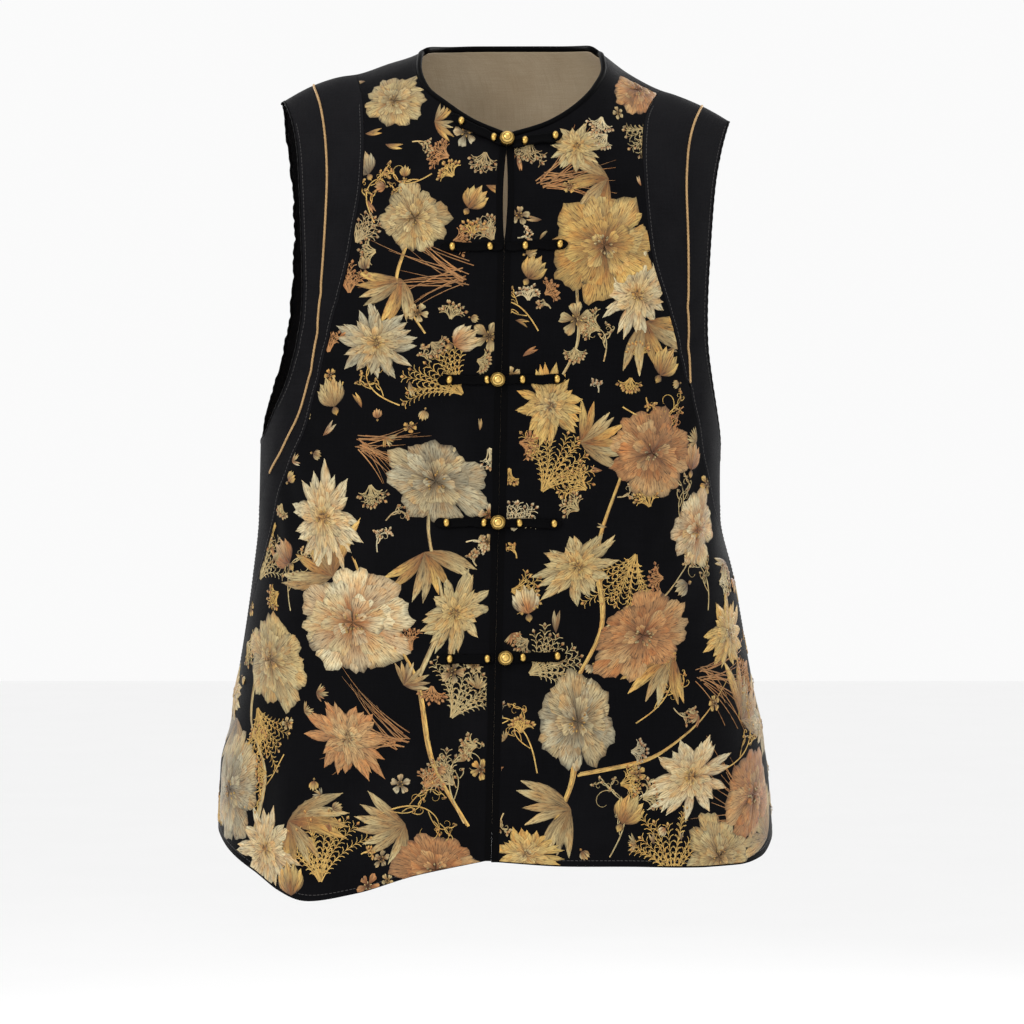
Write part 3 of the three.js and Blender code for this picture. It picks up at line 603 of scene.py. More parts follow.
def panel_grid(face, side, inner, neck_columns, shoulder_columns, rows, away=1.2, shorter=0.0):
    """Places of one half of the front or back. inner gives its inner edge's distance."""
    share = (1 - np.cos(math.pi * np.linspace(1, 0, neck_columns + 1))) / 2
    share = mix(share, np.linspace(1, 0, neck_columns + 1), 0.6)
    top_d, top_z = beside_neck(face, side, share, away)
    corner = ridge_crossing("panel", side)[0] - 0.15
    beyond = mix(top_d[-1], corner, np.linspace(0, 1, shoulder_columns + 1)[1:])
    top_d = np.r_[top_d, beyond]
    top_z = np.r_[top_z, ridge_z(side, beyond)]
    columns = neck_columns + shoulder_columns
    u = np.arange(columns + 1) / columns
    down = from_top(rows)
    hem_outer = float(seam_angle(face, "panel", side, HEM_LEVEL))
    hem = hem_z(side, mix(on_face(face, 0.0), hem_outer, u)) + shorter
    z = mix(top_z[None, :], hem[None, :], down[:, None])
    outer_z = z[:, -1:]
    edge = seam_angle(face, "panel", side, outer_z, -0.15)
    edge[0] = on_face(face, angle_at(side, corner, outer_z[0]))
    to_angle = lambda d, h: on_face(face, angle_at(side, d, h))
    inner_angle = to_angle(inner(z), z)
    settled = smooth(down / 0.3)[:, None]
    neck_top = top_d[neck_columns]
    neck = neck_columns / columns
    neck_angle = mix(to_angle(neck_top, z), mix(inner_angle, edge, neck), settled)
    over = (np.arange(columns + 1) <= neck_columns)[None, :] & np.ones_like(z, bool)
    start = np.where(over, inner_angle, neck_angle)
    end = np.where(over, neck_angle, edge)
    part = np.where(
        over,
        np.arange(columns + 1) / neck_columns,
        (np.arange(columns + 1) - neck_columns) / shoulder_columns,
    )
    tops = top_z[None, :] + 0 * z
    t_start = to_angle(np.where(over, inner(tops), neck_top), tops)
    t_end = to_angle(np.where(over, neck_top, corner), tops)
    reach = (to_angle(top_d[None, :] + 0 * z, tops) - t_start) / (t_end - t_start)
    reach = np.where((part == 0) | (part == 1), part, reach)
    return side, mix(start, end, mix(reach, part, settled)), z


# ------------------------------------------------------------------ materials
def node(tree, kind, inputs=None, **props):
    """A shader node. Inputs are values or the sockets that feed them, by name or number."""
    made = tree.nodes.new("ShaderNode" + kind)
    for key, value in props.items():
        setattr(made, key, value)
    for key, value in (inputs or {}).items():
        socket = made.inputs[key]
        if isinstance(value, bpy.types.NodeSocket):
            tree.links.new(value, socket)
        else:
            socket.default_value = value
    return made


def ramp(tree, fac, stops):
    made = node(tree, "ValToRGB", {"Fac": fac})
    elements = made.color_ramp.elements
    while len(elements) < len(stops):
        elements.new(0.5)
    for element, (at, colour) in zip(elements, stops):
        element.position = at
        element.color = (*colour, 1)
    return made.outputs["Color"]


def math_node(tree, operation, a, b):
    return node(tree, "Math", {0: a, 1: b}, operation=operation).outputs[0]


def stretched(tree, vector, scale):
    return node(tree, "Mapping", {"Vector": vector, "Scale": scale}).outputs["Vector"]


def noise(tree, vector, scale, detail=3.0, rough=0.55):
    inputs = {"Vector": vector, "Scale": scale, "Detail": detail, "Roughness": rough}
    return node(tree, "TexNoise", inputs).outputs["Fac"]


def blend_colour(tree, fac, a, b, mode="MIX"):
    made = node(tree, "MixRGB", {"Fac": fac, "Color1": a, "Color2": b}, blend_type=mode)
    return made.outputs["Color"]


def new_material(name):
    made = bpy.data.materials.new(name)
    made.use_nodes = True
    return made, made.node_tree, made.node_tree.nodes["Principled BSDF"]


def feed(tree, shader, **inputs):
    for key, value in inputs.items():
        socket = shader.inputs[key.replace("_", " ")]
        if isinstance(value, bpy.types.NodeSocket):
            tree.links.new(value, socket)
        else:
            socket.default_value = value


def cloth_uv(tree):
    return node(tree, "UVMap", uv_map="cloth").outputs["UV"]


def wave(tree, vector, scale, direction, **inputs):
    inputs = {key.replace("_", " "): value for key, value in inputs.items()}
    made = node(tree, "TexWave", {"Vector": vector, "Scale": scale, **inputs}, bands_direction=direction)
    return made.outputs["Fac"]


def bump(tree, height, strength, distance=0.0004):
    inputs = {"Height": height, "Strength": strength, "Distance": distance}
    return node(tree, "Bump", inputs).outputs["Normal"]


def map_range(tree, value, low, high, start=0.0, end=1.0):
    inputs = {"Value": value, "From Min": start, "From Max": end, "To Min": low, "To Max": high}
    return node(tree, "MapRange", inputs).outputs["Result"]


def weighted(tree, *terms):
    """The sum of sockets, each times its weight."""
    products = [math_node(tree, "MULTIPLY", socket, weight) for socket, weight in terms]
    total = products[0]
    for product in products[1:]:
        total = math_node(tree, "ADD", total, product)
    return total


def woven(tree, uv, pitch):
    """Height of a plain weave of a pitch in mm."""
    warp, weft = (
        wave(tree, uv, 0.314 / pitch, way, Distortion=1.2, Detail=1.0, Detail_Scale=2.0) for way in "XY"
    )
    return math_node(tree, "MAXIMUM", warp, weft)


def cloth_material(
    name, dark, light, rough, sheen, pitch=0.7, slub=0.8, strength=0.35, specular=0.3, grain=0.5,
    fade=None,
):
    """Woven silk. dark and light are the ends of its colour, which follows the slub, speckle and weave that
    also raise its bump, so its hollows are darker.
    """
    made, tree, shader = new_material(name)
    uv = cloth_uv(tree)
    weave = woven(tree, uv, pitch)
    streak_a = noise(tree, stretched(tree, uv, (0.9, 0.04, 1)), 1.0)
    streak_b = noise(tree, stretched(tree, uv, (0.04, 0.9, 1)), 1.0)
    streaks = math_node(tree, "MULTIPLY", streak_a, streak_b)
    speckle = noise(tree, uv, 1.1, 2.0, 0.7)
    broad = noise(tree, uv, 0.018, 4.0, 0.6)
    tone = weighted(tree, (speckle, grain), (streaks, slub), (broad, 0.6), (weave, 0.12))
    low = 0.3 * grain + 0.15 * slub + 0.22
    colour = ramp(tree, math_node(tree, "SUBTRACT", tone, low), [(0.1, dark), (0.85, light)])
    if fade:
        dust = noise(tree, uv, 0.006, 5.0, 0.65)
        spots = ramp(tree, dust, [(0.52, (0, 0, 0)), (0.75, (0.5, 0.5, 0.5))])
        colour = blend_colour(tree, spots, colour, (*fade, 1))
    height = weighted(tree, (weave, 0.6), (streaks, 1.0), (speckle, grain))
    feed(
        tree,
        shader,
        Base_Color=colour,
        Roughness=map_range(tree, broad, rough - 0.07, rough + 0.07, 0.3, 0.7),
        Normal=bump(tree, height, strength),
        Sheen_Weight=sheen,
        Sheen_Roughness=0.35,
        Sheen_Tint=(*[min(1.0, 6 * c + 0.1) for c in light], 1),
        Specular_IOR_Level=specular,
    )
    return made


SILK = cloth_material(
    "black_satin", (0.0008, 0.0008, 0.0012), (0.0036, 0.0036, 0.0048), 0.46, 0.004, specular=0.035,
    fade=(0.006, 0.0058, 0.007),
)
BAND = cloth_material(
    "black_grained_silk", (0.0018, 0.0018, 0.0024), (0.0095, 0.0093, 0.011), 0.58, 0.01, pitch=1.1,
    slub=0.7, strength=0.6, grain=1.0, specular=0.04, fade=(0.012, 0.0115, 0.013),
)
BINDING = cloth_material(
    "black_satin_binding", (0.0006, 0.0006, 0.0008), (0.0028, 0.0027, 0.0033), 0.52, 0.0,
    pitch=1.0, slub=0.5, strength=0.5, specular=0.03,
)
LINING = cloth_material(
    "beige_silk_lining", (0.33, 0.25, 0.155), (0.60, 0.50, 0.36), 0.55, 0.15, pitch=0.8, slub=0.6,
    strength=0.4, specular=0.35, fade=(0.40, 0.30, 0.19),
)
BACKING = cloth_material(
    "beige_silk_facing", (0.30, 0.23, 0.14), (0.55, 0.46, 0.33), 0.6, 0.12, pitch=0.8, slub=0.6,
    strength=0.4, specular=0.3, fade=(0.36, 0.27, 0.17),
)


def cord_material():
    """Gold thread wrapped round a cord: the wraps follow its length."""
    made, tree, shader = new_material("gold_cord")
    uv = cloth_uv(tree)
    wraps = wave(tree, stretched(tree, uv, (1.0, 0.55, 1)), 0.5, "DIAGONAL", Distortion=1.0, Detail=2.0)
    worn = noise(tree, uv, 0.09, 5.0, 0.7)
    colour = ramp(
        tree, wraps,
        [(0.0, (0.20, 0.105, 0.035)), (0.5, (0.52, 0.31, 0.12)), (1.0, (0.72, 0.48, 0.22))],
    )
    wear = ramp(tree, worn, [(0.45, (0, 0, 0)), (0.8, (0.7, 0.7, 0.7))])
    colour = blend_colour(tree, wear, colour, (0.24, 0.13, 0.055, 1))
    relief, rough = bump(tree, wraps, 0.7), map_range(tree, worn, 0.3, 0.6)
    feed(tree, shader, Base_Color=colour, Roughness=rough, Normal=relief, Metallic=0.35)
    return made


def brass_material(name, worn_amount):
    """Brass with patina, multiplied by the piece's tint, which carries painted shade and a painted highlight.
    """
    made, tree, shader = new_material(name)
    place = node(tree, "TexCoord").outputs["Object"]
    dents = noise(tree, place, 420.0, 4.0, 0.6)
    patina = noise(tree, place, 170.0, 5.0, 0.7)
    colour = ramp(
        tree, patina,
        [(0.3, (0.80, 0.56, 0.19)), (0.55, (0.66, 0.42, 0.11)), (0.76 - worn_amount, (0.26, 0.14, 0.035))],
    )
    shade = node(tree, "VertexColor", layer_name="tint").outputs["Color"]
    colour = blend_colour(tree, 1.0, colour, shade, "MULTIPLY")
    relief, rough = bump(tree, dents, 0.4), map_range(tree, patina, 0.14, 0.40)
    feed(tree, shader, Base_Color=colour, Roughness=rough, Normal=relief, Metallic=1.0)
    return made


CORD = cord_material()
BRASS = brass_material("brass_ball", 0.0)
STUD_BRASS = brass_material("brass_stud", 0.08)


# ------------------------------------------------------------------ the cloth pieces
PANEL_THICK, LINING_THICK, EDGE_THICK = 1.6, 0.7, 2.3
PIPING_RADIUS, ARMHOLE_RADIUS, NECK_RADIUS = 1.1, 1.35, 2.35
LINING_DEPTH = 2.9


def front_inner(z):
    return open_half(z) + EDGE_WIDTH - 0.6


def back_inner(z):
    return 0.0 * z


for side in (LEFT, RIGHT):
    place = panel_grid(FRONT, side, front_inner, neck_columns=52, shoulder_columns=24, rows=200)
    name = "front_panel_" + SIDES[side]
    shell("silk_" + name, place, PANEL_THICK, SILK, inner=BACKING)
    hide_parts(name)
    place = panel_grid(BACK, side, back_inner, neck_columns=40, shoulder_columns=22, rows=170)
    name = "back_panel_" + SIDES[side]
    shell("silk_" + name, place, PANEL_THICK, SILK)
    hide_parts(name)


def lining_piece():
    """The back lining, in one piece over both halves."""
    halves = []
    for side in (LEFT, RIGHT):
        _, angle, z = panel_grid(
            BACK, side, back_inner, neck_columns=30, shoulder_columns=15, rows=110, shorter=8.0
        )
        halves.append((*surface(side, angle, z, -LINING_DEPTH), z))
    point, normal, z = (np.concatenate([l[:, :0:-1], r], axis=1) for l, r in zip(*halves))
    piece = cloth_shell("silk_back_lining", point, normal, flat_uv(point, z), LINING_THICK, LINING)
    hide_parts("back_lining")
    return piece


lining = lining_piece()


def strip_grid(face, side, start, end, lowest, rows, columns):
    """Places between two seam lines {line, shift} of one face, from the shoulder line down."""
    def heights(line):
        top = ridge_crossing(line, side)[1]
        foot = float(hem_z(side, seam_angle(face, line, side, HEM_LEVEL))) if lowest is None else lowest
        return mix(top, foot, from_top(rows))

    za, zb = heights(start[0]), heights(end[0])
    a = seam_angle(face, start[0], side, za, start[1](za))
    b = seam_angle(face, end[0], side, zb, end[1](zb))
    share = np.linspace(0, 1, columns + 1)[None, :]
    z, angle = mix(za[:, None], zb[:, None], share), mix(a[:, None], b[:, None], share)
    # the top row lies on the shoulder line itself, and the rows below it follow that curve
    tops = [ridge_crossing(line, side)[0] + float(shift(np.array(0.0))) for line, shift in (start, end)]
    distance = mix(tops[0], tops[1], share[0])
    ridge = ridge_z(side, distance)
    settle = np.exp((z[:, :1] - z[:1, :1]) / 22)
    z = z + (ridge - z[0])[None, :] * settle
    angle = angle + (on_face(face, angle_at(side, distance, ridge)) - angle[0])[None, :] * settle
    return side, angle, z


for face in (FRONT, BACK):
    for side in (LEFT, RIGHT):
        label = face + "_" + SIDES[side]
        cord_end = PIPING_END[face][side]
        room = lambda z: np.where(z >= cord_end, 0.7, 0.1)
        place = strip_grid(
            face, side, ("panel", lambda z: 0.1 + 0 * z), ("piping", lambda z: -room(z)),
            INNER_END[face][side], 120, 14,
        )
        piece = shell("inner_silk_band_" + label, place, PANEL_THICK, BAND)
        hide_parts("inner_band_" + label)
        place = strip_grid(
            face, side, ("piping", lambda z: room(z)), ("edge", lambda z: 0.1 + 0 * z), None, 230, 22,
        )
        inward = BACKING if face == FRONT else BAND
        piece = shell("side_silk_band_" + label, place, PANEL_THICK, BAND, inner=inward)
        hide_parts("side_band_" + label)


# ------------------------------------------------------------------ piping and bindings
def seam_run(face, line, side, end, count, shift=0.0):
    """Places along a seam line from the shoulder line down."""
    distance, top = ridge_crossing(line, side)
    z = mix(top, end, from_top(count - 1))
    angle = seam_angle(face, line, side, z, shift)
    angle[0] = on_face(face, angle_at(side, np.array(distance), z[0]))
    return angle, z


def over_shoulder(front, back):
    """Angles and heights of one line, from a front run's foot over the shoulder to a back run's."""
    return [np.r_[a[::-1], b[1:]] for a, b in zip(front, back)]


for side in (LEFT, RIGHT):
    runs = [seam_run(f, "piping", side, PIPING_END[f][side], 300) for f in (FRONT, BACK)]
    rings = surface(side, *over_shoulder(*runs), 0.9)
    piece = tube("gold_piping_" + SIDES[side], rings, PIPING_RADIUS, 14, CORD, twist=0.55, ply=3, deep=0.3)
    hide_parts("piping_" + SIDES[side])

    # a stitched, folded edge lies along each armhole
    end = -330 if side == LEFT else -345
    lines = [seam_run(face, "edge", side, end, 260, -0.4) for face in (FRONT, BACK)]
    # the back half is drawn up and stands out a little, in a ragged roll
    run = np.arange(260)
    ragged = 0.9 + 0.5 * np.sin(run * 0.21) + 0.35 * np.sin(run * 0.47 + 1.3)
    ragged = ragged + 0.25 * np.sin(run * 0.93 + side)
    drawn_up = 0.012 * smooth(run / 60) * ragged * smooth((259 - run) / 40)
    lines[1] = (lines[1][0] - drawn_up, lines[1][1])
    rings = surface(side, *over_shoulder(*lines))
    piece = tube(
        "armhole_edge_" + SIDES[side], rings, ARMHOLE_RADIUS, 12, BINDING, twist=0.4, ply=2,
        deep=0.3,
    )

rings = []
for face, side, order in ((FRONT, LEFT, 1), (BACK, LEFT, -1), (BACK, RIGHT, 1), (FRONT, RIGHT, -1)):
    share = np.linspace(1, 0, 110)[::order]
    distance, z = neck_place(face, side, share)
    angle = on_face(face, angle_at(side, distance, z))
    point, normal = surface(side, angle, z, 0.2)
    first = 1 if rings else 0
    rings.append((point[first:], normal[first:]))
rings = [np.concatenate([r[k] for r in rings]) for k in (0, 1)]
for _ in range(10):
    for run in rings:
        run[1:-1] = (run[:-2] + run[1:-1] + run[2:]) / 3
neck = tube("neck_silk_binding", rings, NECK_RADIUS, 20, BINDING, twist=0.05, ply=1, deep=0.04)
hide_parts("neck_binding")

edges = {}
for side in (LEFT, RIGHT):
    top = float(beside_neck(FRONT, side, np.array([1.0]), 1.5)[1][0])
    u = np.linspace(0, 1, 9)[None, :]
    z = mix(top, float(hem_z(side, 0.0)), np.linspace(0, 1, 300))[:, None] + 0 * u
    distance = open_half(z) - np.where(open_half(z) < 0.5, 0.28, 0.0) + u * (EDGE_WIDTH + 0.2)
    name = "edge_binding_" + SIDES[side]
    place = (side, angle_at(side, distance, z), z)
    edges[side] = shell("silk_" + name, place, EDGE_THICK, BINDING, lift=0.1)
    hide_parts(name)


# ------------------------------------------------------------------ frog fastenings
STRAP_OUTER, STRAP_WIDTH, STRAP_THICK = 52.0, 8.4, 2.0
STUD_AT = {LEFT: (42.0, 11.5), RIGHT: (17.0, 45.0)}
BALL_RADIUS = 6.3
# strap height at the centre, span, climb to the left and right end, shift, lift, where its ball sits
FROGS = [
    (-86, 0.87, 27, 9.5, 0, 1.2, 0.4),
    (-170, 1, 0, 2.4, 0, 0, None),
    (-279, 1, 0, 1, 0, 0, -2.8),
    (-396, 1, 0, -1, 0, 0, -0.3),
    (-507, 1, 0, 2.4, 5, 0, 8),
]
STRAP_LIFT = 1.2 + 0.3 + 1.1


def on_front(side, distance, z, lift):
    """Points of the front, by distance from the centre and height, and their normals."""
    distance, z = np.atleast_1d(distance).astype(float), np.atleast_1d(z).astype(float)
    return surface(side, angle_at(side, distance, z), z, lift)


def strap_outline(length):
    """Half width of a strap, as a share, along its length: a narrow neck, then a blunt leaf end."""
    ends = {
        0: (0.62,), 0.06: (0.86,), 0.2: (0.93,), 0.5: (0.9,), 0.72: (0.95,), 0.86: (1.04,),
        0.93: (0.92,), 0.98: (0.5,), 1.0: (0.12,),
    }
    return look_up(ends, 0, length)


def lathe(name, profile, sides, material, place, normal, turn=0.0, stretch=(1, 1), shade_grooves=False):
    """A turned piece from (radius, height) pairs, its axis along the normal at a place."""
    radius, height = np.array(profile).T
    phase = 2 * math.pi * np.arange(sides) / sides
    x = radius[:, None] * np.cos(phase) * stretch[0]
    y = radius[:, None] * np.sin(phase) * stretch[1]
    up = np.array([0, 0, 1.0])
    right = np.cross(up, normal)
    right /= np.linalg.norm(right)
    upright = np.cross(normal, right)
    right, upright = (
        right * math.cos(turn) + upright * math.sin(turn),
        upright * math.cos(turn) - right * math.sin(turn),
    )
    points = x[..., None] * right + y[..., None] * upright + height[:, None, None] * normal
    faces = facing(points, ring_faces(len(radius), sides))
    # painted shade darkens the grooves and the lower rim, and a painted highlight brightens the crown
    rise = (height - height.min()) / np.ptp(height)
    reach = np.hypot(radius, height)
    groove_shade = np.clip((reach - np.median(reach)) / 0.3, -1, 0) if shade_grooves else 0
    painted_light = np.clip(0.22 + 0.78 * smooth((rise - 0.42) / 0.55) + 0.75 * groove_shade, 0.06, 1)
    tint = np.repeat(painted_light, sides)[:, None] * np.ones(4)
    piece = add_mesh(name, points, faces, tint=tint, material=material, sharp=None)
    piece.location = Vector(place * MM)
    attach(piece, "root")
    return piece


def stud_profile():
    steps = np.linspace(0, 1, 20)
    dome = [(3.1 * math.cos(a), 0.5 + 2.7 * math.sin(a)) for a in steps * math.pi / 2 * 0.98]
    return [(0.02, -1.2), (2.9, -1.2), (3.25, -0.7), (3.3, -0.1), (3.15, 0.4)] + dome[1:] + [(0.01, 3.2)]


def ball_profile():
    """A ball with two engraved rings round its crown and a small boss on top."""
    profile = [(0.02, -BALL_RADIUS)]
    for a in np.linspace(-88, 88, 66):
        cut = 0.42 * math.exp(-(((a - 34) / 3.4) ** 2)) + 0.36 * math.exp(-(((a - 60) / 3.4) ** 2))
        cut += 0.3 * math.exp(-(((a + 4) / 2.8) ** 2))
        r = BALL_RADIUS - cut
        profile.append((r * math.cos(math.radians(a)), r * math.sin(math.radians(a))))
    return profile + [(0.02, BALL_RADIUS + 0.1)]


rng = np.random.default_rng(31)
for row, (centre, span, climb_left, climb_right, shift, extra, ball) in enumerate(FROGS, 1):
    for side in (LEFT, RIGHT):
        climb = climb_left if side == LEFT else climb_right
        label = f"{row}_{SIDES[side]}"
        room = 0 if ball is None else BALL_RADIUS - 2.2
        inner = max(1.2, room + side * (ball or 0))
        outer = STRAP_OUTER * span + side * shift
        length = np.linspace(0, 1, 64)[None, :]
        over = np.linspace(-1, 1, 13)[:, None]
        distance = mix(inner, outer, length) + 0 * over
        wobble = 0.35 * np.sin(length * 9.0 + rng.uniform(0, 6))
        wobble = wobble + 0.2 * np.sin(length * 23 + rng.uniform(0, 6))
        half = STRAP_WIDTH / 2 * strap_outline(length) * (1 + 0.03 * np.sin(17 * length + row))
        z = centre + climb * distance / STRAP_OUTER + over * half + wobble
        # the strap is a folded bias strip: its two rolled edges stand a little above its middle
        crown = 0.45 * np.exp(-(((np.abs(over) - 0.72) / 0.2) ** 2)) - 0.5 * np.abs(over) ** 6
        lift = STRAP_LIFT + extra + crown + 0 * length
        place = (side, angle_at(side, distance, z), z)
        strap = shell("silk_strap_" + label, place, STRAP_THICK, BINDING, lift=lift)
        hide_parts("frog_strap_" + label)
        for k, at in enumerate(STUD_AT[side], 1):
            at = at * span + side * shift
            height = centre + climb * at / STRAP_OUTER
            point, normal = on_front(side, at, height, STRAP_LIFT + extra + 1.9)
            stud = lathe(
                f"stud_{label}_{k}", stud_profile(), 28, STUD_BRASS, point[0], normal[0],
                rng.uniform(-0.2, 0.2), (0.84, 1.14),
            )
            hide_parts(f"frog_stud_{label}_{k}")
    if ball is not None:
        side = LEFT if ball < 0 else RIGHT
        height = centre + (3.5 if row == 1 else 0)
        point, normal = on_front(side, abs(ball), height, 1.2 + 0.6 + BALL_RADIUS)
        button = lathe(f"ball_{row}", ball_profile(), 40, BRASS, point[0], normal[0], shade_grooves=True)
        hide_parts(f"ball_button_{row}")


# ------------------------------------------------------------------ embroidery on flat cloth
class Flat:
    """Maps flat cloth, as distance round from centre front and height, to the body surface."""

    def __init__(self, side):
        self.side = side
        self.z = np.linspace(-726, 30, 120)
        turn = np.linspace(0, 1.72, 180)
        z, angle = np.meshgrid(self.z, turn, indexing="ij")
        width, depth = half_width(side, z), depth_at(FRONT, z)
        fall = np.clip((ridge_z(side, width * across(angle)) - z) / SHOULDER_ROUND[FRONT], 0, 1)
        x, y = width * across(angle), depth * along(angle) * np.sqrt(1 - (1 - fall) ** 2)
        run = np.hypot(np.diff(x, axis=1, prepend=0), np.diff(y, axis=1, prepend=y[:, :1]))
        run = np.cumsum(run, axis=1)
        self.s = np.linspace(0, 330, 220)
        self.turns = np.array([np.interp(self.s, r, turn) for r in run])
        seam = seam_angle(FRONT, "panel", side, self.z)
        opening = open_half(self.z) + EDGE_WIDTH + 1.3
        share = np.linspace(0, 1, 60)
        neck_d, neck_h = neck_place(FRONT, side, share)
        at_neck = np.interp(self.z, neck_h[::-1], neck_d[::-1], left=0, right=80) + 3.4
        opening = np.where(self.z > -80, np.maximum(opening, at_neck), opening)
        inner = angle_at(side, opening, self.z)
        self.low = np.array([np.interp(a, turn, r) for a, r in zip(inner, run)])
        self.high = np.array([np.interp(a, turn, r) for a, r in zip(seam, run)]) - 1.2

    def angle(self, s, z):
        i = np.clip((z - self.z[0]) / (self.z[1] - self.z[0]), 0, len(self.z) - 1.001)
        j = np.clip(s / (self.s[1] - self.s[0]), 0, len(self.s) - 1.001)
        a, b = i.astype(int), j.astype(int)
        p, q = i - a, j - b
        t = self.turns
        near, far = mix(t[a, b], t[a + 1, b], p), mix(t[a, b + 1], t[a + 1, b + 1], p)
        return mix(near, far, q)

    def clamp(self, s, z):
        """Moves places onto the panel, and says which were off it."""
        kept_z = np.minimum(z, ridge_z(self.side, np.clip(s, 0, 200)) - 2.0)
        low, high = np.interp(kept_z, self.z, self.low), np.interp(kept_z, self.z, self.high)
        kept_s = np.clip(s, low, np.maximum(high, low))
        kept_z = np.maximum(kept_z, hem_z(self.side, self.angle(kept_s, kept_z)) + 1.4)
        return kept_s, kept_z, (np.abs(kept_s - s) > 1e-6) | (np.abs(kept_z - z) > 1e-6)


CREAM, GOLD, COPPER = np.array([(0.56, 0.46, 0.24), (0.56, 0.37, 0.11), (0.38, 0.165, 0.05)])
BROWN, PALE, TAN = np.array([(0.15, 0.08, 0.03), (0.70, 0.62, 0.41), (0.50, 0.40, 0.22)])
# base, tip and heart of each kind of blossom
PALETTES = {
    "cream": (COPPER, PALE, GOLD),
    "straw": ((0.26, 0.16, 0.06), CREAM, GOLD),
    "gold": ((0.24, 0.11, 0.03), (0.66, 0.45, 0.14), CREAM),
    "peach": ((0.22, 0.09, 0.03), (0.52, 0.27, 0.105), CREAM),
    "silver": ((0.17, 0.125, 0.07), (0.50, 0.45, 0.31), GOLD),
    "tan": (BROWN, TAN, GOLD),
}
PALETTES = {kind: np.array(colours) for kind, colours in PALETTES.items()}


def squashed(x, y, squash):
    """Flat offsets narrowed across a lean, for a blossom seen aslant."""
    lean, flat = squash
    c, s = math.cos(lean), math.sin(lean)
    long, wide = x * c + y * s, (y * c - x * s) * flat
    return long * c - wide * s, long * s + wide * c


def beside(at, heading, reach):
    return at[0] + reach * math.cos(heading), at[1] + reach * math.sin(heading)


def walk(at, heading, step):
    """Places reached from a start by steps along headings."""
    return np.array(at) + np.cumsum(
        np.stack([step * np.cos(heading), step * np.sin(heading)], axis=-1), axis=0,
    )


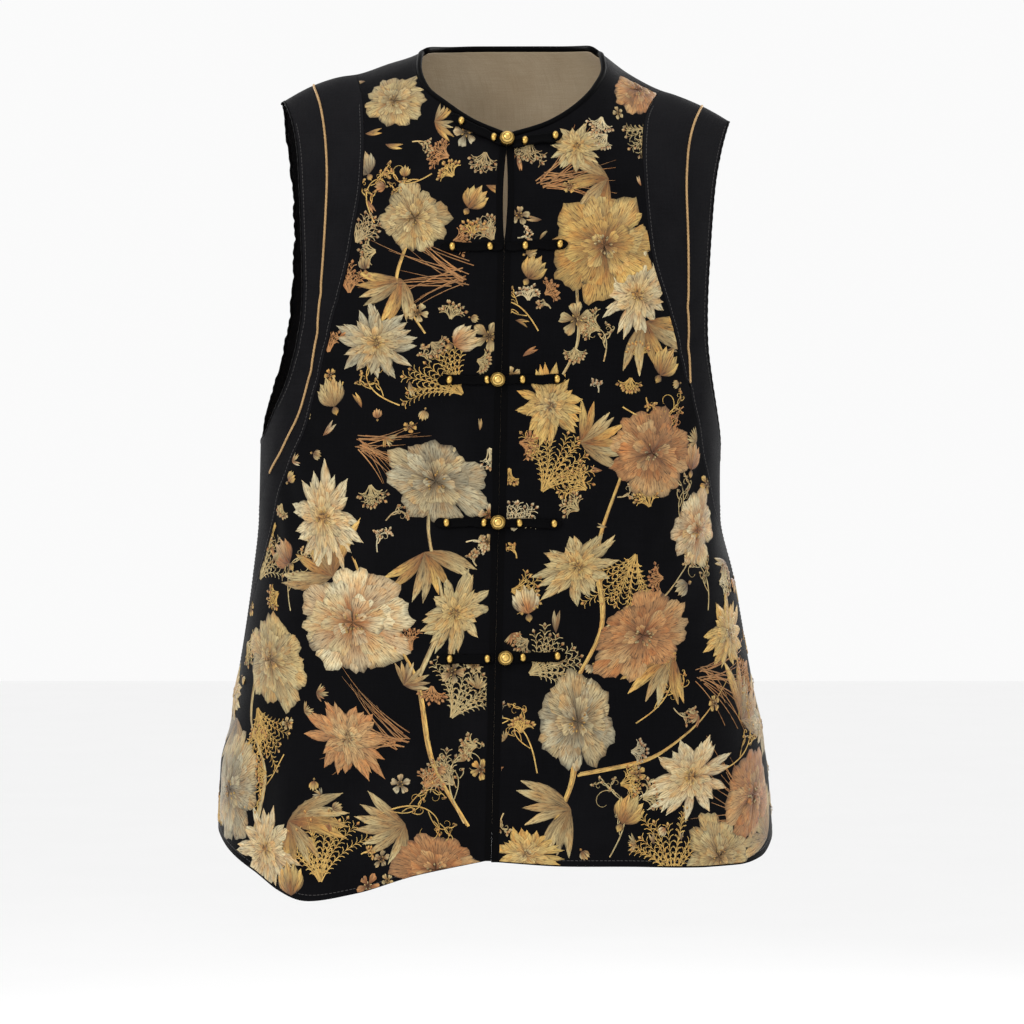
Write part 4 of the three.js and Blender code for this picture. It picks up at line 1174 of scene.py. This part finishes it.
class Needlework:
    """Patches of laid thread on one front panel, gathered into one mesh."""

    def __init__(self, side, seed):
        self.side, self.flat = side, Flat(side)
        self.rng = np.random.default_rng(seed)
        self.points, self.faces, self.uv, self.tint, self.lift = [], [], [], [], []
        self.count = 0

    def patch(self, s, z, lift, uv, tint):
        rows, columns = s.shape
        ks, kz, off = self.flat.clamp(s.ravel(), z.ravel())
        faces = grid_faces(rows, columns)
        faces = faces[~off[faces].all(axis=1)]
        if not len(faces):
            return
        self.points.append(np.stack([ks, kz], axis=-1))
        self.lift.append(np.broadcast_to(lift, s.shape).ravel())
        self.uv.append(np.stack(np.broadcast_arrays(*uv), axis=-1).reshape(-1, 2))
        colour = np.concatenate([np.broadcast_to(tint, (*s.shape, 3)), np.ones((*s.shape, 1))], axis=-1)
        self.tint.append(colour.reshape(-1, 4))
        self.faces.append(faces + self.count)
        self.count += s.size

    def petal(
        self, base, heading, length, width, base_tint, tip_tint, high=0.9, layer=0, bend=0.0,
        shape=1.0, squash=(0, 1), nu=8, nv=6,
    ):
        """One petal or leaf of satin stitch, pointing along heading (radians) from its base."""
        u, v = np.linspace(0, 1, nu)[:, None], np.linspace(-1, 1, nv)[None, :]
        outline = np.sin(math.pi * np.clip(u, 0.0, 1) ** shape) ** 0.7
        outline = np.maximum(outline, 0.05) * width / 2
        reach = length * u * (1 - 0.10 * v**2 * u)
        turn = heading + bend * u
        x = reach * np.cos(turn) - v * outline * np.sin(turn)
        y = reach * np.sin(turn) + v * outline * np.cos(turn)
        x, y = squashed(x, y, squash)
        dome = np.sqrt(np.clip(1 - v**2, 0, 1)) * np.sin(math.pi * np.clip(u * 0.9 + 0.08, 0, 1)) ** 0.5
        lift = 0.55 + 0.32 * layer + high * dome
        shade = mix(base_tint, tip_tint, smooth(u * 1.25 - 0.1)[..., None])
        # painted shade: the petal is darker towards its sides and its base, where it meets the petals round
        # it
        edge = 1 - 0.8 * np.abs(v) ** 5 - 0.2 * (1 - np.clip(u * 5, 0, 1))
        jitter = 1 + self.rng.uniform(-0.14, 0.12)
        self.patch(
            base[0] + x, base[1] + y, lift,
            (reach + self.rng.uniform(0, 400), v * outline + self.rng.uniform(0, 400)),
            shade * edge[..., None] * jitter,
        )

    def frill(
        self, base, heading, length, spread, base_tint, tip_tint, high=0.9, layer=0, squash=(0, 1),
        nu=8, nv=10,
    ):
        """One broad petal with a ruffled rim, opening from its base over a spread to each side."""
        u, v = np.linspace(0, 1, nu)[:, None], np.linspace(-1, 1, nv)[None, :]
        ruffle = 0.05 * np.cos(5.2 * v + self.rng.uniform(0, 6))
        ruffle = ruffle + 0.03 * np.cos(11 * v + self.rng.uniform(0, 6))
        rim = (1 - 0.30 * np.abs(v) ** 3) * (1 + ruffle)
        reach = length * u * rim
        turn = heading + spread * v * (0.75 + 0.25 * u)
        x, y = squashed(reach * np.cos(turn), reach * np.sin(turn), squash)
        dome = np.clip(1 - v**4, 0, 1) ** 0.5 * np.sin(math.pi * np.clip(0.06 + 0.94 * u, 0, 1)) ** 0.45
        waves = 0.18 * np.cos(9 * v + 3 * u) * u
        lift = 0.5 + 0.32 * layer + high * dome + waves * dome
        shade = mix(base_tint, tip_tint, smooth(u * 1.5 - 0.35)[..., None] * np.ones_like(v)[..., None])
        # painted shade darkens its sides and its base, where the petals meet, and a darker line along its rim
        # is a contour thread
        edge = (1 - 0.85 * np.abs(v) ** 7) * (1 - 0.35 * (1 - np.clip(u * 4, 0, 1)))
        edge = edge * (1 - 0.72 * np.clip(u * 9 - 8, 0, 1))
        jitter = 1 + self.rng.uniform(-0.16, 0.1)
        self.patch(
            base[0] + x, base[1] + y, lift,
            (reach + self.rng.uniform(0, 400), length * 0.7 * spread * v + self.rng.uniform(0, 400)),
            shade * edge[..., None] * jitter,
        )

    def thread(self, path, width, tint, high=0.55, layer=0, taper=True):
        """A couched gold thread along a path of flat places."""
        path = np.asarray(path, float)
        step = np.gradient(path, axis=0)
        step /= np.maximum(np.linalg.norm(step, axis=1, keepdims=True), 1e-6)
        off = np.stack([-step[:, 1], step[:, 0]], axis=-1)
        run = np.cumsum(np.r_[0, np.linalg.norm(np.diff(path, axis=0), axis=1)])
        wide = width / 2 * (np.minimum(1, 1.3 - run / run[-1]) if taper else 1) * np.ones(len(path))
        v = np.array([-1.0, 0.0, 1.0])
        s = path[:, :1] + off[:, :1] * wide[:, None] * v
        z = path[:, 1:] + off[:, 1:] * wide[:, None] * v
        lift = 0.7 + 0.3 * layer + high * (1 - np.abs(v)) + 0 * s
        jitter = 1 + self.rng.uniform(-0.15, 0.15)
        self.patch(
            s, z, lift, (run[:, None] + self.rng.uniform(0, 400) + 0 * s, wide[:, None] * v),
            tint * jitter,
        )

    # -------------------------------------------------------------- motifs
    def chrysanthemum(self, at, size, turn, palette):
        base, tip, heart = PALETTES[palette]
        squash = (turn, self.rng.uniform(0.66, 0.88))
        rings = [
            (1.0, 17, 0.30, 0), (0.80, 15, 0.28, 1), (0.60, 12, 0.27, 2), (0.42, 9, 0.26, 3),
            (0.25, 6, 0.2, 4),
        ]
        for share, count, wide, layer in rings:
            start = self.rng.uniform(0, 1)
            for k in range(count):
                heading = 2 * math.pi * (k + start + self.rng.uniform(-0.2, 0.2)) / count
                long = size * share * self.rng.uniform(0.84, 1.1)
                colour = mix(tip, heart, 0.16 * layer)
                self.petal(
                    at, heading, long, size * wide * self.rng.uniform(0.85, 1.1),
                    mix(base, heart, 0.12 * layer), colour, 0.85, layer,
                    self.rng.uniform(-0.35, 0.35), 1.7, squash,
                )
        for k in range(9):
            heading = self.rng.uniform(0, 2 * math.pi)
            self.petal(
                beside(at, heading, size * 0.05), heading, size * 0.1, size * 0.07, BROWN, heart,
                0.6, 6, nu=6, nv=5,
            )

    def peony(self, at, size, turn, palette):
        base, tip, heart = PALETTES[palette]
        squash = (turn, self.rng.uniform(0.7, 0.92))
        rings = [
            (1.0, 8, 0.50, 0), (0.84, 7, 0.52, 1), (0.66, 6, 0.55, 2), (0.48, 5, 0.58, 3),
            (0.30, 4, 0.6, 4),
        ]
        shades = [tip, mix(tip, heart, 0.35), mix(tip, base, 0.35)]
        for share, count, wide, layer in rings:
            start = self.rng.uniform(0, 1)
            for k in range(count):
                heading = 2 * math.pi * (k + start + self.rng.uniform(-0.16, 0.16)) / count
                long = size * share * self.rng.uniform(0.86, 1.12)
                shade = shades[self.rng.integers(3)]
                self.frill(at, heading, long, wide, base, shade, 1.15, layer, squash)
                self.frill(
                    at, heading + self.rng.uniform(-0.1, 0.1), long * 0.74, wide * 0.8,
                    mix(base, shade, 0.2), mix(shade, base, 0.3), 0.8, layer + 0.5, squash,
                )
        for k in range(14):
            heading = self.rng.uniform(0, 2 * math.pi)
            reach = size * self.rng.uniform(0.05, 0.14)
            self.petal(
                beside(at, heading, reach), heading, size * 0.07, size * 0.05, BROWN, heart, 0.7,
                6, nu=6, nv=5,
            )

    def leaf(self, at, size, turn, palette):
        base, tip, _ = PALETTES[palette]
        for half in (-1, 1):
            shade = tip if half > 0 else mix(tip, base, 0.45)
            self.petal(
                at, turn + half * 0.13, size, size * 0.24, base, shade, 0.7, 0,
                self.rng.uniform(0.1, 0.3) * (1 if size > 30 else -1), 1.0,
            )

    def leaves(self, at, size, turn, palette):
        for k, spread in enumerate(np.linspace(-0.95, 0.95, 4)):
            self.leaf(
                at, size * self.rng.uniform(0.75, 1.1),
                turn + spread + self.rng.uniform(-0.12, 0.12), palette if k % 2 else "straw",
            )

    def bud(self, at, size, turn, palette):
        base, tip, heart = PALETTES[palette]
        for k, spread in enumerate((-0.75, 0.75, -0.4, 0.4, 0.0)):
            self.petal(
                at, turn + spread, size * (0.8 + 0.05 * k), size * 0.42, base,
                mix(tip, heart, 0.1 * k), 0.9, k * 0.6, -0.25 * spread, 1.3,
            )
        self.petal(at, turn + math.pi, size * 0.3, size * 0.25, BROWN, GOLD, 0.6, 3)

    def scroll(self, at, size, turn, palette, curl=1.0, order=2):
        """A tendril that winds up into a spiral, with smaller ones springing from it."""
        count = max(int(size * 3.4 / 1.3), 16)
        u = np.linspace(0, 1, count)
        heading = turn + curl * (0.5 * u + 5.6 * u**2.4)
        step = 3.4 * size / count * (1 - 0.6 * u)
        path = walk(at, heading, step)
        tint = PALETTES[palette][1]
        self.thread(path, 1.3 if order > 1 else 0.95, tint)
        if order > 0:
            for k, share in enumerate((0.16, 0.3, 0.44, 0.57)):
                i = int(share * count)
                self.scroll(
                    path[i], size * (0.44 - 0.06 * k) * self.rng.uniform(0.85, 1.1),
                    heading[i] - curl * self.rng.uniform(0.5, 0.9) * (1 if k % 2 else -1), palette,
                    -curl if k % 2 == 0 else curl, order - 1,
                )
        elif self.rng.uniform() < 0.7:
            self.petal(path[-1], heading[-1], 3.4, 2.6, COPPER, tint, 0.7, 1, nu=5, nv=5)

    def fan(self, at, size, turn, palette):
        """Fine stems that spread from a point, each with short side stitches and a berry."""
        tint = PALETTES[palette][1]
        for spread in np.linspace(-1.05, 1.05, 11):
            long = size * self.rng.uniform(0.72, 1.05)
            u = np.linspace(0, 1, max(int(long / 2.2), 6))
            heading = turn + spread * (0.35 + 0.9 * u) + self.rng.uniform(-0.08, 0.08)
            step = long / len(u)
            path = walk(at, heading, step)
            self.thread(path, 1.0, tint)
            for i in range(3, len(u) - 1, 2):
                for way in (-1, 1):
                    h = heading[i] + way * 0.85
                    reach = 4.2 + 2.2 * u[i]
                    bent = beside(path[i], h - way * 0.3, 0.6 * reach)
                    self.thread([path[i], bent, beside(path[i], h, reach)], 0.75, tint, 0.4, taper=False)
            self.petal(path[-1], heading[-1], 3.6, 3.0, COPPER, tint, 0.7, 1, nu=5, nv=5)

    def grass(self, at, size, turn, palette):
        """A sheaf of long single stitches, bowed over."""
        tint = PALETTES[palette][1]
        for _ in range(22):
            start = np.array(at) + self.rng.normal(0, size * 0.06, 2)
            long = size * self.rng.uniform(0.5, 1.1)
            u = np.linspace(0, 1, max(int(long / 3), 6))
            lean = self.rng.uniform(-0.5, 0.5)
            heading = turn + lean + 0.8 * lean * u
            path = walk(start, heading, long / len(u))
            self.thread(path, self.rng.uniform(0.8, 1.3), mix(tint, BROWN, self.rng.uniform(0, 0.5)))

    def plum(self, at, size, turn, palette):
        """A small open blossom of five petals, with knotted stamens."""
        base, tip, heart = PALETTES[palette]
        squash = (turn, self.rng.uniform(0.75, 1))
        for k in range(5):
            self.frill(
                at, turn + 2 * math.pi * k / 5, size * self.rng.uniform(0.9, 1.08), 0.56, base,
                tip, 0.7, 0.4 * (k % 2), squash, 8, 9,
            )
        for k in range(5):
            heading = turn + 2 * math.pi * (k + 0.5) / 5
            self.petal(
                beside(at, heading, size * 0.1), heading, size * 0.24, size * 0.13, BROWN, heart,
                0.6, 3, nu=5, nv=5,
            )

    def stem(self, path, width, palette):
        path = np.array(path, float)
        t = np.linspace(0, len(path) - 1, 18 * len(path))
        keys = np.arange(len(path))
        fine = np.stack([np.interp(t, keys, path[:, k]) for k in (0, 1)], axis=-1)
        for _ in range(60):
            fine[1:-1] = (fine[:-2] + 2 * fine[1:-1] + fine[2:]) / 4
        base, tip, _ = PALETTES[palette]
        for off, shade in ((-0.5, tip), (0.5, mix(tip, base, 0.5)), (0.0, tip)):
            self.thread(fine + off * width * 0.5, width * 0.62, shade, 0.35)

    def piece(self, name, material):
        flat = np.concatenate(self.points)
        s, z = flat[:, 0], flat[:, 1]
        place, _ = surface(self.side, self.flat.angle(s, z), z, np.concatenate(self.lift))
        faces = np.concatenate(self.faces)
        if self.side == RIGHT:
            faces = faces[:, ::-1]
        made = add_mesh(
            name, place, faces, np.concatenate(self.uv), np.concatenate(self.tint), material,
            sharp=None,
        )
        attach(made, "root")
        return made


def thread_material():
    """Laid silk and gold thread: fine strokes along the stitch, tinted by the piece's colours."""
    made, tree, shader = new_material("embroidery_thread")
    uv = cloth_uv(tree)
    tint = node(tree, "VertexColor", layer_name="tint").outputs["Color"]
    strokes = noise(tree, stretched(tree, uv, (0.11, 0.85, 1)), 1.0, 3.0, 0.65)
    fine = noise(tree, stretched(tree, uv, (0.25, 2.6, 1)), 1.0, 2.0, 0.6)
    patches = noise(tree, stretched(tree, uv, (0.05, 0.09, 1)), 1.0, 3.0, 0.6)
    both = weighted(tree, (strokes, 1.0), (fine, 0.5))
    shade = ramp(
        tree, both,
        [(0.58, (0.06, 0.05, 0.045)), (0.68, (0.62, 0.57, 0.52)), (0.86, (1.0, 1.0, 1.0))],
    )
    colour = blend_colour(tree, 0.9, tint, shade, "MULTIPLY")
    warm = ramp(
        tree, patches,
        [(0.36, (1.0, 0.72, 0.42)), (0.50, (1.0, 0.95, 0.82)), (0.66, (0.82, 0.86, 0.84))],
    )
    colour = blend_colour(tree, 0.8, colour, warm, "MULTIPLY")
    relief, rough = bump(tree, both, 0.75, 0.0006), map_range(tree, patches, 0.34, 0.55)
    feed(
        tree, shader, Base_Color=colour, Roughness=rough, Normal=relief,
        Metallic=0.22, Specular_IOR_Level=0.4, Sheen_Weight=0.1,
    )
    return made


THREAD = thread_material()

# kind, distance round from centre front, height, size, turn in degrees, palette
LAYOUT = {
    LEFT: [
        ("stem", [(20, -640), (52, -590), (62, -520), (100, -470), (120, -425)], 5.0, "gold"),
        ("stem", [(62, -520), (40, -470), (60, -400), (50, -350)], 3.6, "straw"),
        ("stem", [(215, -660), (196, -600), (226, -560), (214, -500)], 4.4, "straw"),
        ("stem", [(64, -240), (92, -200), (74, -150)], 3.0, "gold"),
        ("grass", 30, -196, 84, 8, "peach"),
        ("grass", 120, -330, 60, 200, "peach"),
        ("grass", 70, -575, 76, 14, "peach"),
        ("fan", 30, -292, 52, 40, "gold"),
        ("fan", 214, -548, 56, 250, "gold"),
        ("fan", 36, -556, 52, 118, "straw"),
        ("fan", 140, -690, 58, 84, "gold"),
        ("scroll", 106, -640, 44, 150, "gold"),
        ("scroll", 22, -640, 40, 60, "straw"),
        ("scroll", 178, -585, 40, 300, "gold"),
        ("scroll", 82, -300, 30, 20, "gold"),
        ("scroll", 178, -470, 32, 70, "straw"),
        ("scroll", 60, -108, 24, 330, "gold"),
        ("scroll", 108, -150, 26, 60, "gold"),
        ("leaves", 84, -196, 36, 300, "gold"),
        ("leaves", 138, -440, 44, 40, "gold"),
        ("leaves", 60, -420, 40, 250, "gold"),
        ("leaves", 250, -560, 48, 280, "silver"),
        ("leaves", 170, -640, 46, 200, "gold"),
        ("leaves", 70, -640, 40, 330, "straw"),
        ("leaves", 106, -40, 30, 200, "straw"),
        ("peony", 52, -362, 40, 30, "silver"),
        ("chrysanthemum", 148, -392, 44, 75, "cream"),
        ("peony", 118, -478, 46, 10, "cream"),
        ("peony", 196, -510, 38, 60, "straw"),
        ("chrysanthemum", 34, -470, 36, 120, "straw"),
        ("chrysanthemum", 104, -248, 34, 20, "silver"),
        ("peony", 74, -146, 28, 50, "straw"),
        ("chrysanthemum", 120, -572, 40, 40, "peach"),
        ("peony", 246, -618, 44, 100, "silver"),
        ("chrysanthemum", 196, -664, 36, 30, "cream"),
        ("peony", 44, -676, 34, 20, "peach"),
        ("peony", 98, -46, 24, 10, "straw"),
        ("chrysanthemum", 276, -540, 30, 10, "straw"),
        ("bud", 30, -138, 20, 120, "gold"),
        ("bud", 116, -108, 20, 60, "silver"),
        ("bud", 140, -300, 24, 70, "straw"),
        ("bud", 40, -250, 22, 150, "cream"),
        ("bud", 182, -430, 24, 40, "peach"),
        ("bud", 166, -700, 26, 80, "gold"),
    ],
    RIGHT: [
        ("stem", [(40, -660), (70, -600), (56, -540), (92, -480), (78, -420), (104, -350)], 5.4, "gold"),
        ("stem", [(92, -480), (140, -460), (172, -420)], 3.6, "straw"),
        ("stem", [(70, -600), (130, -590), (176, -560), (214, -520)], 4.0, "gold"),
        ("stem", [(36, -300), (64, -250), (60, -200)], 3.2, "straw"),
        ("grass", 26, -118, 64, 20, "peach"),
        ("grass", 176, -520, 70, 350, "peach"),
        ("grass", 250, -640, 84, 170, "peach"),
        ("fan", 34, -372, 56, 60, "gold"),
        ("fan", 116, -420, 58, 250, "gold"),
        ("fan", 26, -520, 48, 30, "straw"),
        ("fan", 150, -690, 62, 95, "gold"),
        ("fan", 132, -60, 40, 240, "straw"),
        ("scroll", 30, -240, 30, 120, "gold"),
        ("scroll", 100, -300, 34, 330, "gold"),
        ("scroll", 150, -410, 36, 60, "straw"),
        ("scroll", 36, -600, 40, 100, "gold"),
        ("scroll", 116, -560, 38, 30, "gold"),
        ("scroll", 200, -600, 42, 20, "gold"),
        ("scroll", 96, -668, 38, 60, "straw"),
        ("scroll", 186, -470, 30, 80, "straw"),
        ("leaves", 86, -112, 40, 200, "gold"),
        ("leaves", 120, -230, 40, 300, "gold"),
        ("leaves", 66, -330, 36, 20, "gold"),
        ("leaves", 150, -505, 46, 210, "gold"),
        ("leaves", 226, -560, 50, 40, "gold"),
        ("leaves", 64, -628, 42, 200, "straw"),
        ("leaves", 268, -660, 46, 120, "straw"),
        ("peony", 82, -168, 46, 40, "gold"),
        ("chrysanthemum", 112, -208, 36, 70, "cream"),
        ("chrysanthemum", 58, -86, 24, 20, "straw"),
        ("peony", 128, -338, 38, 10, "peach"),
        ("chrysanthemum", 40, -300, 34, 110, "gold"),
        ("peony", 176, -402, 32, 60, "cream"),
        ("chrysanthemum", 66, -432, 36, 30, "straw"),
        ("peony", 122, -488, 42, 30, "peach"),
        ("chrysanthemum", 212, -488, 34, 60, "gold"),
        ("peony", 68, -558, 40, 100, "silver"),
        ("chrysanthemum", 166, -604, 42, 20, "cream"),
        ("peony", 238, -622, 40, 60, "peach"),
        ("chrysanthemum", 28, -664, 30, 10, "gold"),
        ("peony", 196, -670, 34, 130, "straw"),
        ("chrysanthemum", 278, -566, 30, 10, "silver"),
        ("peony", 120, -34, 24, 20, "peach"),
        ("bud", 20, -196, 20, 60, "gold"),
        ("bud", 134, -274, 24, 60, "gold"),
        ("bud", 170, -352, 22, 80, "peach"),
        ("bud", 26, -470, 22, 100, "cream"),
        ("bud", 106, -640, 24, 60, "gold"),
    ],
}

# how much larger a motif is sewn than its row says, how far it keeps others away, and its size as a
# filler for the room it has
SCALE = {"peony": 1.16, "chrysanthemum": 1.1, "leaves": 1.15, "bud": 1.1}
REACH = {
    "peony": 0.86, "chrysanthemum": 0.84, "leaves": 0.5, "bud": 0.5, "fan": 0.45, "scroll": 0.4,
    "grass": 0.3,
}
FILL_SIZE = {"plum": 0.8, "leaf": 1.2, "bud": 1.0, "fan": 1.6, "leaves": 1.05, "scroll": 0.8}

FILLERS = {
    "plum": 0.16, "leaf": 0.13, "bud": 0.12, "fan": 0.34, "leaves": 0.15, "scroll": 0.10,
}
FILLER_PALETTES = {
    "straw": 0.27, "tan": 0.2, "gold": 0.23, "cream": 0.1, "peach": 0.14, "silver": 0.06,
}
MOST_FILLERS, TRIES, LEAST_ROOM, LARGEST_FILLER = 140, 4000, 7, 27

needlework = {LEFT: [], RIGHT: []}
for side, seed in ((LEFT, 5), (RIGHT, 8)):
    work = Needlework(side, seed)
    taken = []
    for kind, *facts in LAYOUT[side]:
        if kind == "stem":
            work.stem(*facts)
            continue
        s, z, size, turn, palette = facts
        size = size * SCALE.get(kind, 1.0)
        getattr(work, kind)((s, z), size, math.radians(turn), palette)
        taken.append((s, z, REACH[kind] * size))
    fillers = 0
    for _ in range(TRIES):
        s, z = work.rng.uniform(8, 300), work.rng.uniform(-705, -20)
        if work.flat.clamp(np.array([s]), np.array([z]))[2][0] or fillers >= MOST_FILLERS:
            continue
        room = min(math.hypot(s - a, z - b) - c for a, b, c in taken)
        if room < LEAST_ROOM:
            continue
        size = min(room * work.rng.uniform(1.0, 1.25), LARGEST_FILLER)
        kind, palette = (
            work.rng.choice(list(choices), p=list(choices.values())) for choices in (FILLERS, FILLER_PALETTES)
        )
        getattr(work, kind)((s, z), size * FILL_SIZE[kind], work.rng.uniform(0, 2 * math.pi), palette)
        taken.append((s, z, size * 0.72))
        fillers += 1
    needlework[side].append(work.piece("embroidery_" + SIDES[side], THREAD))


# ------------------------------------------------------------------ seam and hem stitching
def stitch_material():
    made, tree, shader = new_material("sewing_thread")
    uv = cloth_uv(tree)
    ply = wave(tree, stretched(tree, uv, (1.0, 1.4, 1)), 0.6, "DIAGONAL", Distortion=0.6)
    worn = noise(tree, uv, 0.05, 3.0)
    colour = ramp(tree, ply, [(0.0, (0.010, 0.009, 0.009)), (1.0, (0.055, 0.050, 0.046))])
    colour = blend_colour(tree, math_node(tree, "MULTIPLY", worn, 0.5), colour, (0.02, 0.018, 0.018, 1))
    feed(tree, shader, Base_Color=colour, Roughness=0.5, Normal=bump(tree, ply, 0.5, 0.0002))
    return made


STITCH_ROWS, STITCH_COLUMNS = 5, 4


def stitch_row(side, angle, z, pitch=3.4, length=2.5, wide=0.55):
    """Points and faces of a row of running stitches along places of the body surface."""
    path, normal = surface(side, angle, z, PANEL_THICK / 2)
    run = np.cumsum(np.r_[0, np.linalg.norm(np.diff(path, axis=0), axis=1)])
    starts = np.arange(1.0, run[-1] - length, pitch)
    starts = starts + rng.uniform(-0.3, 0.3, len(starts))
    u, v = np.linspace(0, 1, STITCH_ROWS), np.linspace(-1, 1, STITCH_COLUMNS)
    at = starts[:, None] + length * u[None, :]
    centre = np.stack([np.interp(at, run, path[:, k]) for k in range(3)], axis=-1)
    up = np.stack([np.interp(at, run, normal[:, k]) for k in range(3)], axis=-1)
    step = np.gradient(centre, axis=1)
    over = np.cross(step, up)
    over /= np.linalg.norm(over, axis=-1, keepdims=True)
    high = 0.42 * np.sin(math.pi * (0.06 + 0.88 * u))[:, None] * np.sqrt(1.02 - v**2)[None, :] - 0.08
    points = centre[:, :, None] + over[:, :, None] * wide / 2 * v[:, None] + up[:, :, None] * high[
        None, ..., None,
    ]
    first = np.arange(len(starts)) * STITCH_ROWS * STITCH_COLUMNS
    faces = first[:, None, None] + grid_faces(STITCH_ROWS, STITCH_COLUMNS)[None]
    uv = np.stack(np.broadcast_arrays(at[:, :, None], v * wide), axis=-1)
    return points.reshape(-1, 3), faces.reshape(-1, 4), uv.reshape(-1, 2)


rows_of_stitches = []
for side in (LEFT, RIGHT):
    for face in (FRONT, BACK):
        turn = np.linspace(0.05 if face == FRONT else 0.01, 1.56, 240)
        turn = on_face(face, turn)
        rows_of_stitches.append((side, turn, hem_z(side, turn) + 5.0))
        hem = float(hem_z(side, seam_angle(face, "panel", side, HEM_LEVEL))) + 4
        for line, shift, top, foot in (
            ("panel", 3.0, -46, hem),
            ("panel", -2.6, -46, hem),
            ("edge", -4.5, -60, -300),
            ("edge", -5.0, -380, hem),
        ):
            if face == FRONT and (line, shift) == ("panel", -2.6):
                # the embroidery covers it there
                continue
            z = np.linspace(top, foot, 400)
            rows_of_stitches.append((side, seam_angle(face, line, side, z, shift), z))
    z = np.linspace(-4, -666, 400)
    rows_of_stitches.append((side, on_face(BACK, angle_at(side, 2.4 + 0 * z, z)), z))
parts, count = ([], [], []), 0
for place in rows_of_stitches:
    points, faces, uv = stitch_row(*place)
    for held, new in zip(parts, (points, faces + count, uv)):
        held.append(new)
    count += len(points)
points, faces, uv = (np.concatenate(held) for held in parts)
stitching = add_mesh("seam_stitching", points, faces, uv, material=stitch_material(), sharp=None)
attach(stitching, "root")


# ------------------------------------------------------------------ the trims of each side, gathered in a table
trims = {side: [edges[side]] for side in (LEFT, RIGHT)}
trims[LEFT].append(stitching)


# ------------------------------------------------------------------ stage, light and camera
def floor_plane(width, height, colour):
    made, tree, shader = new_material("floor_paint")
    place = node(tree, "TexCoord").outputs["Object"]
    tone = ramp(tree, noise(tree, place, 3.0), [(0.3, colour), (0.7, tuple(c * 0.99 for c in colour))])
    feed(tree, shader, Base_Color=tone, Roughness=0.9)
    x = width / 2
    mesh = bpy.data.meshes.new("floor")
    mesh.from_pydata([(-x, -x, 0), (x, -x, 0), (x, x, 0), (-x, x, 0)], [], [(0, 1, 2, 3)])
    mesh.materials.append(made)
    plane = bpy.data.objects.new("floor", mesh)
    plane.location = (0, 0, height)
    bpy.context.scene.collection.objects.link(plane)


floor_plane(30, -1.25, (0.94, 0.94, 0.94))

world = bpy.data.worlds.new("studio")
bpy.context.scene.world = world
world.use_nodes = True
background = world.node_tree.nodes["Background"].inputs
background["Color"].default_value = (1, 1, 1, 1)
background["Strength"].default_value = 0.96

# name, place, size, power, colour
LIGHTS = [
    ("key", (-1.9, -2.5, 1.0), 1.1, 24, (1.0, 0.97, 0.93)),
    ("fill", (2.2, -2.3, 0.1), 1.4, 4, (0.95, 0.98, 1.0)),
    ("top", (0.2, -0.9, 1.9), 1.0, 9, (1.0, 1.0, 1.0)),
    ("low", (0.0, -2.6, -1.0), 1.0, 3, (1.0, 0.98, 0.95)),
    ("rim", (-1.4, 1.8, 0.8), 1.0, 14, (1.0, 1.0, 1.0)),
    ("back_key", (1.7, 2.4, 0.9), 1.0, 26, (1.0, 1.0, 1.0)),
]
for label, place, size, power, colour in LIGHTS:
    lamp = bpy.data.lights.new(label, "AREA")
    lamp.size, lamp.energy, lamp.color = size, power, colour
    light = bpy.data.objects.new(label, lamp)
    light.location = place
    light.rotation_euler = (Vector((0, 0, -0.35)) - Vector(place)).to_track_quat("-Z", "Y").to_euler()
    bpy.context.scene.collection.objects.link(light)

# the camera sees a frame 0.8704 m wide at the plane between front and back
CAMERA_DISTANCE = 3.0
lens = bpy.data.cameras.new("camera")
lens.sensor_width = 36.0
lens.lens = 36.0 * CAMERA_DISTANCE / 0.8704
camera = bpy.data.objects.new("camera", lens)
camera.location = (0.0068, -CAMERA_DISTANCE, -0.387)
camera.rotation_euler = (math.pi / 2, 0, 0)
bpy.context.scene.collection.objects.link(camera)
bpy.context.scene.camera = camera
bpy.context.scene.view_settings.view_transform = "Standard"
